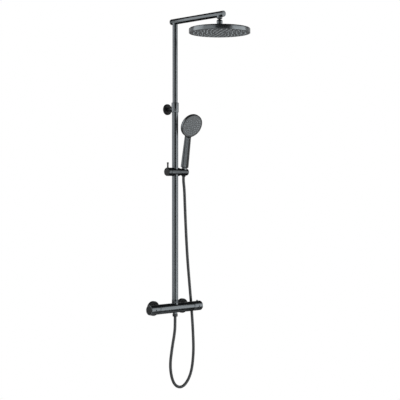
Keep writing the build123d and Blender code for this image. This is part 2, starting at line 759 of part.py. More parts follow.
def ball_nipple():
    shoulder = OUTLET_BOTTOM - NIPPLE_COLLAR
    stem = turned(OVERHEAD, [
        (0, OUTLET_BOTTOM + NIPPLE_THREAD),
        (NIPPLE_THREAD_R, OUTLET_BOTTOM + NIPPLE_THREAD),
        (NIPPLE_THREAD_R, OUTLET_BOTTOM),
        (OUTLET_COLLAR_R, OUTLET_BOTTOM),
        (OUTLET_COLLAR_R, shoulder),
        (NIPPLE_FLARE_R, shoulder - NIPPLE_FLARE / 3),
        (NIPPLE_NECK_R, shoulder - NIPPLE_FLARE),
        (NIPPLE_NECK_R, BALL_Z),
        (0, BALL_Z),
    ])
    nipple = stem + BALL * Sphere(BALL_R)
    top = (0, HEAD_Y, OUTLET_BOTTOM + NIPPLE_THREAD)
    return nipple - rod((0, HEAD_Y, BALL_Z - BALL_R), top, NIPPLE_BORE_R)


def ball_seat_ring():
    zone = Sphere(RING_OUT_R) - Sphere(RING_IN_R)
    low = -BALL_R
    slab = Pos(0, 0, low) * Cylinder(2 * RING_OUT_R, BALL_R - SOCKET_TOP - BALL_GAP, align=BASE)
    return BALL * (zone & slab)


def ball_nut():
    nut = turned(BALL, [
        (0, BALL_NUT_ABOVE),
        (BALL_NUT_TOP_R, BALL_NUT_ABOVE),
        (BALL_NUT_R, BALL_NUT_ABOVE / 2),
        (BALL_NUT_R, -BALL_NUT_BELOW / 3),
        (BALL_NUT_FOOT_R, -BALL_NUT_BELOW),
        (0, -BALL_NUT_BELOW),
    ])
    nut -= BALL * Sphere(RING_IN_R)
    foot = Pos(0, 0, -BALL_NUT_BELOW)
    relief = foot * Cylinder(2 * SEAT_R, BALL_NUT_BELOW - SOCKET_TOP / 3, align=BASE)
    nut -= BALL * (Sphere(SEAT_R) & relief)
    thread = foot * Cylinder(SOCKET_R + THREAD_GAP, BALL_NUT_BELOW - SOCKET_TOP, align=BASE)
    nut -= BALL * thread
    lip = math.sqrt(RING_IN_R**2 - BALL_LIP**2)
    mouth_rise = BALL_NUT_ABOVE - BALL_LIP
    mouth = Pos(0, 0, BALL_LIP) * Cone(lip, lip + mouth_rise / 4, mouth_rise, align=BASE)
    return nut - BALL * mouth


def head_shell():
    inside = HEAD_R - HEAD_WALL
    roof = HEAD_TOP - HEAD_WALL
    boss_top = HEAD_TOP + HEAD_BOSS
    socket_top = BALL_Z - SOCKET_TOP
    shell = turned(OVERHEAD, [
        (0, socket_top),
        (SOCKET_R, socket_top),
        (SOCKET_R, boss_top),
        (BALL_NUT_FOOT_R, boss_top),
        (HEAD_BOSS_R, HEAD_TOP),
        (HEAD_R - HEAD_BEVEL, HEAD_TOP),
        (HEAD_R, HEAD_TOP - HEAD_BEVEL),
        (HEAD_R, HEAD_BOTTOM),
        (inside, HEAD_BOTTOM),
        (inside, HEAD_TOP - HEAD_BEVEL - HEAD_WALL / 2),
        (HEAD_R - HEAD_BEVEL - HEAD_WALL / 2, roof),
        (0, roof),
    ])
    shell -= BALL * Sphere(SEAT_R)
    return shell - rod((0, HEAD_Y, roof), (0, HEAD_Y, BALL_Z), NIPPLE_NECK_R)


def head_face():
    place = Plane(origin=(0, HEAD_Y, HEAD_BOTTOM + HEAD_FACE_INSET), z_dir=(0, 0, 1))
    points = rings_of_points(HEAD_NOZZLE_RINGS, HEAD_NOZZLE_PITCH)
    return holed_disc(place, HEAD_FACE_R, HEAD_FACE, points, NOZZLE_R + NOZZLE_GAP)


def head_nozzle_mat():
    place = Plane(origin=(0, HEAD_Y, HEAD_MAT_BOTTOM), z_dir=(0, 0, 1))
    points = rings_of_points(HEAD_NOZZLE_RINGS, HEAD_NOZZLE_PITCH)
    radius = HEAD_FACE_R - HEAD_GASKET_WIDTH - THREAD_GAP
    drop = HEAD_FACE + HEAD_FACE_INSET + NOZZLE_PROUD
    return nozzle_mat(place, radius, HEAD_MAT, points, NOZZLE_R, drop)


def head_gasket():
    inner = HEAD_FACE_R - HEAD_GASKET_WIDTH
    return ring(OVERHEAD, inner, HEAD_FACE_R, HEAD_MAT_BOTTOM, HEAD_MAT_BOTTOM + HEAD_MAT)


# Slider

def slider_body():
    body = turned(SLIDER, [
        (0, -SLIDER_LEFT),
        (SLIDER_R, -SLIDER_LEFT),
        (SLIDER_R, SLIDER_RIGHT),
        (0, SLIDER_RIGHT),
    ])
    body -= rod((0, AXIS_Y, SLIDER_Z - SLIDER_R), (0, AXIS_Y, SLIDER_Z + SLIDER_R), BUSH_R + RUN_GAP)
    body -= rod((-SLIDER_LEFT, AXIS_Y, SLIDER_Z), (0, AXIS_Y, SLIDER_Z), CLAMP_SCREW_R + RUN_GAP)
    return body - rod((0, AXIS_Y, SLIDER_Z), (SLIDER_RIGHT, AXIS_Y, SLIDER_Z), HOLDER_PIN_R + THREAD_GAP)


def slider_bush():
    tube = ring(RISER, BUSH_BORE_R, BUSH_R, SLIDER_Z - SLIDER_R, SLIDER_Z + SLIDER_R)
    left, right = (-SLIDER_LEFT, AXIS_Y, SLIDER_Z), (SLIDER_LEFT, AXIS_Y, SLIDER_Z)
    return tube & rod(left, right, SLIDER_R - BUSH_CROWN_GAP)


def clamp_knob():
    bore = CLAMP_SCREW_R + THREAD_GAP
    seat = CLAMP_IN - CLAMP_SCREW_SEAT
    knob_solid = turned(SLIDER, [
        (0, CLAMP_OUT),
        (SLIDER_R - CLAMP_EDGE, CLAMP_OUT),
        (SLIDER_R, CLAMP_OUT + CLAMP_EDGE),
        (SLIDER_R, CLAMP_IN),
        (bore, CLAMP_IN),
        (bore, seat),
        (0, seat),
    ])
    foot = (LEVER_X, AXIS_Y, SLIDER_Z + SLIDER_R - LEVER_SEAT)
    return knob_solid - rod(foot, (LEVER_X, AXIS_Y, SLIDER_Z + SLIDER_R), LEVER_R + THREAD_GAP)


def clamp_screw():
    seat = CLAMP_IN - CLAMP_SCREW_SEAT + THREAD_GAP
    return rod((seat, AXIS_Y, SLIDER_Z), (-BUSH_R - FACE_GAP, AXIS_Y, SLIDER_Z), CLAMP_SCREW_R)


def clamp_lever():
    place = Plane(origin=(LEVER_X, AXIS_Y, SLIDER_Z), z_dir=(0, 0, 1))
    head = LEVER_TOP - LEVER_HEAD
    edge = LEVER_R / 4
    return turned(place, [
        (0, SLIDER_R - LEVER_SEAT + THREAD_GAP),
        (LEVER_R, SLIDER_R - LEVER_SEAT + THREAD_GAP),
        (LEVER_R, SLIDER_R),
        (LEVER_WAIST_R, SLIDER_R + LEVER_HEAD / 2),
        (LEVER_WAIST_R, head),
        (LEVER_R, head + edge),
        (LEVER_R, LEVER_TOP - edge),
        (LEVER_R - edge, LEVER_TOP),
        (0, LEVER_TOP),
    ])


def cone_radius(height):
    """Radius of the hose cone's taper at a height along the handle axis."""
    share = (height + CONE_BOTTOM) / (CONE_TOP + CONE_BOTTOM)
    return CONE_BOTTOM_R + share * (CONE_TOP_R - CONE_BOTTOM_R)


def handset_holder():
    bore = HOLDER_PIN_R + RUN_GAP
    pin_end = HOLDER_IN + HOLDER_PIN_DEPTH
    holder = turned(SLIDER, [
        (bore, HOLDER_IN),
        (HOLDER_R, HOLDER_IN),
        (HOLDER_R, HOLDER_OUT - HOLDER_EDGE),
        (HOLDER_R - HOLDER_EDGE, HOLDER_OUT),
        (0, HOLDER_OUT),
        (0, pin_end + FACE_GAP),
        (bore, pin_end + FACE_GAP),
    ])
    reach = 2 * HOLDER_R
    seat = turned(HANDLE, [
        (0, -reach),
        (cone_radius(-reach) + CONE_SEAT_GAP, -reach),
        (cone_radius(reach) + CONE_SEAT_GAP, reach),
        (0, reach),
    ])
    return holder - seat


def holder_pin():
    start = SLIDER_RIGHT - HOLDER_PIN_SEAT
    return rod((start, AXIS_Y, SLIDER_Z), (HOLDER_IN + HOLDER_PIN_DEPTH, AXIS_Y, SLIDER_Z), HOLDER_PIN_R)


# Hand shower

def hose_cone():
    thread = HANDSET_THREAD_R + RUN_GAP
    thread_end = HANDLE_BASE - HANDSET_THREAD - HANDSET_WASHER
    socket_end = HOSE_SOCKET - CONE_BOTTOM
    return turned(HANDLE, [
        (HOSE_SOCKET_R, -CONE_BOTTOM),
        (CONE_BOTTOM_R, -CONE_BOTTOM),
        (CONE_TOP_R, CONE_TOP),
        (thread, CONE_TOP),
        (thread, thread_end),
        (CONE_BORE_R, thread_end),
        (CONE_BORE_R, socket_end),
        (HOSE_SOCKET_R, socket_end),
    ])


def handset_washer():
    low = HANDLE_BASE - HANDSET_THREAD - HANDSET_WASHER
    return ring(HANDLE, CONE_BORE_R, HANDSET_THREAD_R, low, low + HANDSET_WASHER - FACE_GAP)


def handset_inlet():
    plug = HANDLE_BORE_R - THREAD_GAP
    return turned(HANDLE, [
        (CONE_BORE_R, HANDLE_BASE - HANDSET_THREAD),
        (HANDSET_THREAD_R, HANDLE_BASE - HANDSET_THREAD),
        (HANDSET_THREAD_R, HANDLE_BASE),
        (plug, HANDLE_BASE),
        (plug, HANDLE_BASE + INLET_PLUG),
        (CONE_BORE_R, HANDLE_BASE + INLET_PLUG),
    ])


def handset_shell():
    handle = turned(HANDLE, [
        (0, HANDLE_BASE),
        (HANDLE_BOTTOM_R - HANDLE_EDGE, HANDLE_BASE),
        (HANDLE_BOTTOM_R, HANDLE_BASE + HANDLE_EDGE),
        (HANDLE_TOP_R, HANDLE_TOP),
        (HANDLE_TIP_R, HANDLE_TIP),
        (0, HANDLE_TIP),
    ])
    handle -= HANDSET * Cylinder(HANDSET_R + FACE_GAP, HANDSET_REACH, align=BASE)
    edge = HANDSET_BACK_EDGE
    head = turned(HANDSET, [
        (0, -HANDSET_HEIGHT),
        (HANDSET_R - edge, -HANDSET_HEIGHT),
        (HANDSET_R - edge / 4, edge / 2 - HANDSET_HEIGHT),
        (HANDSET_R, edge - HANDSET_HEIGHT),
        (HANDSET_R, 0),
        (0, 0),
    ])
    shell = handle + head
    shell -= turned(HANDSET, [
        (0, 0),
        (HANDSET_BORE_R, 0),
        (HANDSET_BORE_R, -HANDSET_CAVITY),
        (0, -HANDSET_CAVITY),
    ])
    bore_top = HANDLE_BASE + HANDLE_BORE
    shell -= turned(HANDLE, [
        (0, HANDLE_BASE),
        (HANDLE_BORE_R, HANDLE_BASE),
        (HANDLE_BORE_R, bore_top),
        (0, bore_top),
    ])
    rim = HANDSET.from_local_coords((0, -(HANDSET_BORE_R - WATERWAY_R), -HANDSET_CAVITY + WATERWAY_R))
    start = HANDLE_FOOT + HANDLE_AXIS * (bore_top - WATERWAY_R) - HANDLE_FORWARD * WATERWAY_BACK
    return shell - rod(start, rim, WATERWAY_R)


def handset_face():
    points = rings_of_points(HANDSET_NOZZLE_RINGS, HANDSET_NOZZLE_PITCH)
    place = HANDSET * Pos(0, 0, -HANDSET_FACE_INSET - HANDSET_FACE)
    radius = HANDSET_BORE_R - THREAD_GAP
    return holed_disc(place, radius, HANDSET_FACE, points, HANDSET_NOZZLE_R + NOZZLE_GAP)


def handset_nozzle_mat():
    points = rings_of_points(HANDSET_NOZZLE_RINGS, HANDSET_NOZZLE_PITCH)
    place = HANDSET * Pos(0, 0, -HANDSET_FACE_INSET - HANDSET_FACE) * Rot(180, 0, 0)
    length = HANDSET_FACE + HANDSET_FACE_INSET + NOZZLE_PROUD
    return nozzle_mat(place, HANDSET_BORE_R - THREAD_GAP, HANDSET_MAT, points, HANDSET_NOZZLE_R, length)


# Hose

def hose_nut():
    across = extrude(RegularPolygon(HOSE_NUT_R, 6), HOSE_NUT)
    nut = Pos(0, AXIS_Y, HOSE_NUT_BOTTOM) * across
    nut -= rod((0, AXIS_Y, HOSE_START_Z), (0, AXIS_Y, HOSE_OUTLET_Z), HOSE_THREAD_R + THREAD_GAP)
    return nut - rod((0, AXIS_Y, HOSE_NUT_BOTTOM), (0, AXIS_Y, HOSE_OUTLET_Z), HOSE_R + THREAD_GAP)


def hose_washer():
    return ring(RISER, HOSE_BORE_R, HOSE_THREAD_R, HOSE_START_Z, HOSE_START_Z + HOSE_WASHER)


def hose():
    start = Vector(0, AXIS_Y, HOSE_START_Z)
    end = HANDLE_FOOT - HANDLE_AXIS * (CONE_BOTTOM - HOSE_SOCKET + HOSE_END_GAP)
    route = [Vector(x * HOLDER_X, y * AXIS_Y, z * end.Z) for x, y, z in HOSE_ROUTE_SHARES]
    points = [start, start - Vector(0, 0, HOSE_LEAD)] + route + [end - HANDLE_AXIS * HOSE_LEAD, end]
    radii = []
    for before, corner, after in zip(points, points[1:], points[2:]):
        turn = math.radians((corner - before).get_angle(after - corner))
        shorter = min((corner - before).length, (after - corner).length)
        radii.append(HOSE_BEND_SHARE * shorter / math.tan(turn / 2))
    path = FilletPolyline(*points, radius=radii)
    across = Plane(origin=start, z_dir=points[1] - start) * (Circle(HOSE_R) - Circle(HOSE_BORE_R))
    tube = sweep(across, path=path)
    section = math.pi * (HOSE_R**2 - HOSE_BORE_R**2)
    print("hose length %.1f, radii" % path.length, [round(radius) for radius in radii])
    print("hose volume / (section x length) = %.4f" % (tube.volume / (section * path.length)))
    return tube


PARTS = {
    "left_wall_flange": wall_flange(-1),
    "right_wall_flange": wall_flange(1),
    "wall_unions": [wall_union(-1), wall_union(1)],
    "union_nuts": [union_nut(-1), union_nut(1)],
    "inlet_washers": [inlet_washer(-1), inlet_washer(1)],
    "check_valves": [check_valve(-1), check_valve(1)],
    "mixer_body": mixer_body(),
    "diverter_cartridge": cartridge(MIXER_LEFT),
    "thermostat_cartridge": cartridge(MIXER_RIGHT),
    "cartridge_rings": [cartridge_ring(MIXER_LEFT), cartridge_ring(MIXER_RIGHT)],
    "flow_spindle": spindle(MIXER_LEFT),
    "flow_knob": knob(MIXER_LEFT, -1),
    "flow_knob_cap": knob_cap(MIXER_LEFT),
    "flow_grub_screw": grub_screw(-1),
    "temperature_spindle": spindle(MIXER_RIGHT),
    "temperature_knob": temperature_knob(),
    "temperature_knob_cap": knob_cap(MIXER_RIGHT),
    "temperature_grub_screw": grub_screw(1),
    "safety_button": safety_button(),
    "safety_spring": safety_spring(),
    "riser_connector": riser_connector(),
    "riser_seal": riser_seal(),
    "lower_riser": lower_riser(),
    "riser_guide_bush": guide_bush(),
    "upper_riser": upper_riser(),
    "riser_piston": riser_piston(),
    "riser_o_rings": riser_o_rings(),
    "bracket_collar": bracket_collar(),
    "bracket_stem": bracket_stem(),
    "bracket_base": bracket_base(),
    "bracket_flange": bracket_flange(),
    "arm_spigot": arm_spigot(),
    "arm_circlip": arm_circlip(),
    "arm_o_ring": arm_o_ring(),
    "rain_arm": rain_arm(),
    "arm_back_cap": arm_cap(-ARM_BACK, -1),
    "arm_front_cap": arm_cap(ARM_FRONT, 1),
    "ball_nipple": ball_nipple(),
    "ball_seat_ring": ball_seat_ring(),
    "ball_nut": ball_nut(),
    "head_shell": head_shell(),
    "head_face": head_face(),
    "head_nozzle_mat": head_nozzle_mat(),
    "head_gasket": head_gasket(),
    "slider_bush": slider_bush(),
    "slider_body": slider_body(),
    "clamp_knob": clamp_knob(),
    "clamp_screw": clamp_screw(),
    "clamp_lever": clamp_lever(),
    "handset_holder": handset_holder(),
    "holder_pin": holder_pin(),
    "hose_cone": hose_cone(),
    "handset_washer": handset_washer(),
    "handset_inlet": handset_inlet(),
    "handset_shell": handset_shell(),
    "handset_face": handset_face(),
    "handset_nozzle_mat": handset_nozzle_mat(),
    "hose_nut": hose_nut(),
    "hose_washer": hose_washer(),
    "hose": hose(),
}

os.makedirs("parts", exist_ok=True)
for node, shape in PARTS.items():
    solids = shape if isinstance(shape, list) else [shape]
    solids = [solid for piece in solids for solid in piece.solids()]
    export_step(Compound(children=solids), f"parts/{node}.step")
print(len(PARTS), "nodes")
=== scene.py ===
# %% [markdown]
# # A rainfall shower column, dressed in Blender
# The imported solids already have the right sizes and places. This lesson gives them
# their finish, remakes the pieces whose look needs rounder or finer shapes, lays the
# hose as one smooth line, and sets up the studio.

# %% Load the frame
import json
import math

import bpy
from mathutils import Matrix, Vector


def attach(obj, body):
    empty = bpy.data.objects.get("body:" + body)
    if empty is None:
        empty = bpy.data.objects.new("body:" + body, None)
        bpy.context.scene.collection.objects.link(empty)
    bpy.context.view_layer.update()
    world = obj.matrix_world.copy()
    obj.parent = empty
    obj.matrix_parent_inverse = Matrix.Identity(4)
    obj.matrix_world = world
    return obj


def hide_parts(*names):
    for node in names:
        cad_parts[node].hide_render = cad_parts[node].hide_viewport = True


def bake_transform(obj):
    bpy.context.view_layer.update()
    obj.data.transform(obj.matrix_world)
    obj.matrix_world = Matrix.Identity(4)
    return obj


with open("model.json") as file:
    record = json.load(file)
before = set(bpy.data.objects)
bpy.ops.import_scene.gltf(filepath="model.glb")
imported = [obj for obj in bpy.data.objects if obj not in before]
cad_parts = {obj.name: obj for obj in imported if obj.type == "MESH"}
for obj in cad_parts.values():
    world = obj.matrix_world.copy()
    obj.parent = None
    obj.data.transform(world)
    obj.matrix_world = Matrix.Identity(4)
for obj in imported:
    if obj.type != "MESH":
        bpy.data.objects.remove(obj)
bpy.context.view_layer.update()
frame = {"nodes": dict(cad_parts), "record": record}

MM = 0.001
nodes = frame["nodes"]

# %% [markdown]
# ## Places that several pieces share
# These are the places of the solids, in millimetres, in the same frame: the origin is on
# the wall between the water inlets, X to the right, Z up, and the room is towards -Y.

# %% Shared places
AXIS_Y = -46.0
ARM_Z = 1092.2
ARM_REACH = 240.0
HEAD_Y = AXIS_Y - ARM_REACH
SLIDER_Z = 519.0
HOLDER_X = 46.6
UP, RIGHT, LEFT = Vector((0, 0, 1)), Vector((1, 0, 0)), Vector((-1, 0, 0))
OUT_OF_WALL, TO_WALL = Vector((0, -1, 0)), Vector((0, 1, 0))
# The hand shower leans out of the wall, is turned a little, and its face tilts down.
LEAN, TURN, FACE_TILT = (math.radians(angle) for angle in (9.2, 5.0, 16.8))
HANDSET_UP, HANDSET_FORWARD = 180.0, 18.8
HANDLE_FOOT = Vector((HOLDER_X, AXIS_Y, SLIDER_Z))
HANDLE_AXIS = UP * math.cos(LEAN) + OUT_OF_WALL * math.sin(LEAN)
HANDLE_FRONT = OUT_OF_WALL * math.cos(LEAN) - UP * math.sin(LEAN)
HANDLE_FORWARD = HANDLE_FRONT * math.cos(TURN) + LEFT * math.sin(TURN)
HANDLE_SIDE = HANDLE_AXIS.cross(HANDLE_FORWARD)
HANDSET_CENTRE = HANDLE_FOOT + HANDLE_AXIS * HANDSET_UP + HANDLE_FORWARD * HANDSET_FORWARD
HANDSET_NORMAL = HANDLE_FORWARD * math.cos(FACE_TILT) - HANDLE_AXIS * math.sin(FACE_TILT)


def place_at(point, direction, sideways=None):
    """Matrix that takes the origin to a point in millimetres and +Z to a direction."""
    along = Vector(direction).normalized()
    sideways = sideways or (RIGHT if abs(along.x) < 0.9 else UP)
    sideways = (sideways - along * sideways.dot(along)).normalized()
    turn = Matrix((sideways, along.cross(sideways), along)).transposed().to_4x4()
    return Matrix.Translation(Vector(point) * MM) @ turn


print("hand shower's face at", [round(value, 1) for value in HANDSET_CENTRE], "mm")

# %% [markdown]
# ## Helpers for modelling
# Nearly every piece of a shower column is turned on a lathe, so the main helper draws
# half of a piece's outline by extruding one vertex from point to point, and spins it a
# full turn. Operators act on all that is selected, so each piece starts from an empty
# selection. Sharp edges are then rounded with a Bevel modifier, because real castings
# and mouldings always catch a thin line of light along their edges.

# %% Turning
MERGE_DISTANCE = 0.01


def only(piece=None):
    """Select one piece and nothing else."""
    if bpy.context.mode != "OBJECT":
        bpy.ops.object.mode_set(mode="OBJECT")
    bpy.ops.object.select_all(action="DESELECT")
    if piece:
        piece.select_set(True)
        bpy.context.view_layer.objects.active = piece


def rounding(centre, radius, start, end, steps=6):
    """Points of an arc on an outline, between two angles measured from outwards to upwards."""
    angles = [math.radians(start + (end - start) * step / steps) for step in range(steps + 1)]
    return [(centre[0] + radius * math.cos(a), centre[1] + radius * math.sin(a)) for a in angles]


def turned(name, place, outline, sides=64):
    """Turn a piece about the Z axis of a place from (radius, height) points in millimetres."""
    only()
    bpy.ops.mesh.primitive_plane_add(size=MM, location=(0, 0, 0))
    piece = bpy.context.object
    piece.name = name
    bpy.ops.object.mode_set(mode="EDIT")
    bpy.ops.mesh.select_all(action="SELECT")
    bpy.ops.mesh.merge(type="CENTER")
    bpy.ops.transform.translate(value=(outline[0][0] * MM, 0, outline[0][1] * MM))
    closed = outline if outline[0][0] == 0 else outline + outline[:1]
    for before, after in zip(closed, closed[1:]):
        step = {"value": ((after[0] - before[0]) * MM, 0, (after[1] - before[1]) * MM)}
        bpy.ops.mesh.extrude_vertices_move(TRANSFORM_OT_translate=step)
    bpy.ops.mesh.select_all(action="SELECT")
    bpy.ops.mesh.spin(steps=sides, angle=2 * math.pi, center=(0, 0, 0), axis=(0, 0, 1))
    bpy.ops.mesh.select_all(action="SELECT")
    bpy.ops.mesh.remove_doubles(threshold=MERGE_DISTANCE * MM)
    bpy.ops.mesh.normals_make_consistent(inside=False)
    bpy.ops.object.mode_set(mode="OBJECT")
    piece.matrix_world = place
    bpy.ops.object.transform_apply(location=True, rotation=True, scale=True)
    return piece


def rod(start, end, radius, sides=48):
    """Plain round bar between two points in millimetres, to add to a piece or to drill it."""
    run = Vector(end) - Vector(start)
    outline = [(0, 0), (radius, 0), (radius, run.length), (0, run.length)]
    return turned("rod", place_at(start, run), outline, sides)


# %% Joining, cutting and rounding
def combine(piece, tool, operation):
    """Add a tool to a piece, or cut it away, and remove the tool."""
    only(piece)
    step = piece.modifiers.new(operation, "BOOLEAN")
    step.operation = operation
    step.object = tool
    step.solver = "EXACT"
    bpy.ops.object.modifier_apply(modifier=step.name)
    bpy.data.objects.remove(tool)
    return piece


def drilled(piece, start, end, radius):
    """Cut a round hole into a piece between two points in millimetres."""
    return combine(piece, rod(start, end, radius, 32), "DIFFERENCE")


def round_edges(piece, width, segments=3, angle=30):
    """Round the sharp edges of a piece, width in millimetres."""
    only(piece)
    bevel = piece.modifiers.new("Rounded edges", "BEVEL")
    bevel.width = width * MM
    bevel.segments = segments
    bevel.limit_method = "ANGLE"
    bevel.angle_limit = math.radians(angle)
    bpy.ops.object.modifier_apply(modifier=bevel.name)
    return piece


# %% [markdown]
# ## Handing a piece over
# A modelled piece needs a finish and a body of the mechanism to ride on, and the solids
# that it stands for are hidden. Some pieces have a second finish on the faces that look
# one way, such as the end of a knob.

# %% Finishing a piece
def finished(piece, material, body, slot, *stands_for, smooth=35):
    """Shade a piece, give it its finish and its body, and hide the solids that it stands for."""
    only(piece)
    bpy.ops.object.shade_smooth_by_angle(angle=math.radians(smooth))
    piece.data.materials.clear()
    piece.data.materials.append(material)
    if body:
        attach(piece, body)
    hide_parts(*stands_for)
    print(piece.name, len(piece.data.polygons), "faces")
    return piece


def dress_faces(piece, material, direction, least=0.9):
    """Give the faces of a piece that look in a direction a finish of their own."""
    only(piece)
    piece.data.materials.append(material)
    bpy.ops.object.mode_set(mode="EDIT")
    bpy.ops.mesh.select_all(action="DESELECT")
    bpy.ops.object.mode_set(mode="OBJECT")
    for face in piece.data.polygons:
        face.select = face.normal.dot(direction) > least
    bpy.ops.object.mode_set(mode="EDIT")
    piece.active_material_index = len(piece.data.materials) - 1
    bpy.ops.object.material_slot_assign()
    bpy.ops.object.mode_set(mode="OBJECT")


# %% [markdown]
# ## A shared effect: fine grain
# Satin black coating isn't perfectly even. Under a lamp it shows a very fine grain and
# slow changes in gloss where it has been sprayed and wiped. Both come from one group,
# so each finish only says how strong they are.

# %% Group: fine grain
GRAIN_DETAIL = 3.0
GRAIN_DEPTH = 0.2
CLOUD_SCALE, CLOUD_DETAIL = 26.0, 4.0


def fine_grain_group():
    """Group with a fine bump, a cloud from 0 to 1, and a roughness that drifts with it."""
    group = bpy.data.node_groups.new("FineGrain", "ShaderNodeTree")
    for name, value in (("Scale", 900.0), ("Bump", 0.1), ("Roughness", 0.4), ("Spread", 0.1)):
        socket = group.interface.new_socket(name, in_out="INPUT", socket_type="NodeSocketFloat")
        socket.default_value = value
    group.interface.new_socket("Roughness", in_out="OUTPUT", socket_type="NodeSocketFloat")
    group.interface.new_socket("Cloud", in_out="OUTPUT", socket_type="NodeSocketFloat")
    group.interface.new_socket("Normal", in_out="OUTPUT", socket_type="NodeSocketVector")
    add, link = group.nodes.new, group.links.new
    inputs, outputs = add("NodeGroupInput"), add("NodeGroupOutput")
    where = add("ShaderNodeTexCoord")
    grain = add("ShaderNodeTexNoise")
    grain.inputs["Detail"].default_value = GRAIN_DETAIL
    link(where.outputs["Object"], grain.inputs["Vector"])
    link(inputs.outputs["Scale"], grain.inputs["Scale"])
    bump = add("ShaderNodeBump")
    bump.inputs["Distance"].default_value = GRAIN_DEPTH * MM
    link(inputs.outputs["Bump"], bump.inputs["Strength"])
    link(grain.outputs["Fac"], bump.inputs["Height"])
    link(bump.outputs["Normal"], outputs.inputs["Normal"])
    cloud = add("ShaderNodeTexNoise")
    cloud.inputs["Scale"].default_value = CLOUD_SCALE
    cloud.inputs["Detail"].default_value = CLOUD_DETAIL
    link(where.outputs["Object"], cloud.inputs["Vector"])
    link(cloud.outputs["Fac"], outputs.inputs["Cloud"])
    centred = add("ShaderNodeMath")
    centred.operation = "SUBTRACT"
    centred.inputs[1].default_value = 0.5
    link(cloud.outputs["Fac"], centred.inputs[0])
    spread = add("ShaderNodeMath")
    spread.operation = "MULTIPLY_ADD"
    link(centred.outputs[0], spread.inputs[0])
    link(inputs.outputs["Spread"], spread.inputs[1])
    link(inputs.outputs["Roughness"], spread.inputs[2])
    link(spread.outputs[0], outputs.inputs["Roughness"])
    return group


fine_grain = fine_grain_group()
print("grain group:", len(fine_grain.nodes), "nodes")

# %% [markdown]
# ## The finishes
# The column is satin black all over. Coated metal, moulded plastic and the hose are all
# near black, so they are told apart by their gloss. Flanges, caps and the ends of knobs
# are matt. The spray faces are a little lighter, with nozzles of soft grey silicone.

# %% How a finish is made
def finish(name, dark, light, roughness, spread=0.1, bump=0.1, scale=900.0, metallic=0.0,
           specular=0.5):
    """Finish whose colour drifts between two tones with the cloud of the grain group."""
    material = bpy.data.materials.new(name)
    material.use_nodes = True
    tree = material.node_tree
    shader = tree.nodes["Principled BSDF"]
    shader.inputs["Metallic"].default_value = metallic
    shader.inputs["Specular IOR Level"].default_value = specular
    grain = tree.nodes.new("ShaderNodeGroup")
    grain.node_tree = fine_grain
    grain.inputs["Scale"].default_value = scale
    grain.inputs["Bump"].default_value = bump
    grain.inputs["Roughness"].default_value = roughness
    grain.inputs["Spread"].default_value = spread
    tone = tree.nodes.new("ShaderNodeMix")
    tone.data_type = "RGBA"
    tone.inputs["A"].default_value = (*dark, 1.0)
    tone.inputs["B"].default_value = (*light, 1.0)
    tree.links.new(grain.outputs["Cloud"], tone.inputs["Factor"])
    tree.links.new(tone.outputs["Result"], shader.inputs["Base Color"])
    tree.links.new(grain.outputs["Roughness"], shader.inputs["Roughness"])
    tree.links.new(grain.outputs["Normal"], shader.inputs["Normal"])
    return material


def grey(level):
    """Grey with a trace of blue, as the coating has it."""
    return (level, level * 1.1, level * 1.16)


def satin_black(name, dark, light, roughness, bump):
    """Smooth black that mirrors softly, as lacquer over metal does."""
    return finish(name, grey(dark), grey(light), roughness, spread=0.05, bump=bump, metallic=1.0)


# %% All finishes
coated_black = satin_black("Coated black metal", 0.075, 0.09, 0.24, bump=0.0)
moulded_black = satin_black("Moulded black", 0.08, 0.095, 0.28, bump=0.02)
head_black = satin_black("Overhead shower black", 0.095, 0.115, 0.24, bump=0.0)
slider_black = satin_black("Slider black", 0.04, 0.05, 0.3, bump=0.02)
handset_black = satin_black("Hand shower black", 0.085, 0.1, 0.34, bump=0.03)
matt_black = finish("Matt black", grey(0.008), grey(0.011), 0.55, bump=0.08, specular=0.2)
face_grey = finish("Spray face grey", grey(0.064), grey(0.078), 0.45)
nozzle_grey = finish("Nozzle silicone", grey(0.44), grey(0.5), 0.6, scale=1500.0)
soft_black = finish("Soft black plastic", grey(0.026), grey(0.034), 0.45, bump=0.04, specular=0.3)
seal_black = finish("Seal rubber", grey(0.012), grey(0.02), 0.7)
bearing_grey = finish("Bearing plastic", grey(0.24), grey(0.3), 0.5)
bare_brass = finish("Bare brass", (0.56, 0.4, 0.17), (0.64, 0.48, 0.22), 0.3, metallic=1.0)
bare_steel = finish("Bare steel", grey(0.5), grey(0.58), 0.32, metallic=1.0)

SLOT_FINISH = {
    "black_metal": coated_black,
    "black_knobs": moulded_black,
    "black_shell": moulded_black,
    "grey_face": face_grey,
    "nozzle_rubber": nozzle_grey,
    "black_hose": soft_black,
    "black_nuts": coated_black,
    "seal_rubber": seal_black,
    "bearing_plastic": bearing_grey,
    "brass": bare_brass,
    "steel": bare_steel,
}
for row in frame["record"]["subparts"]:
    node = nodes[row["node"]]
    node.data.materials.clear()
    node.data.materials.append(SLOT_FINISH[row["material_slot"]])
print("slots with a finish:", len(SLOT_FINISH))

# %% [markdown]
# ## The hose
# The hose leaves the mixer's lower outlet, hangs in a loop, passes behind the bar and
# climbs to the cone in the holder. Its line is one NURBS spline with the route's points
# as its control points. The hose follows the slider, the holder and the cone one after
# the other, so the tube is cut into stretches, each listed with the two bodies that it
# lies between. Only the first stretch is put on a body, the column.

# %% Hose route
HOSE_R = 5.5
HOSE_SIDES = 20
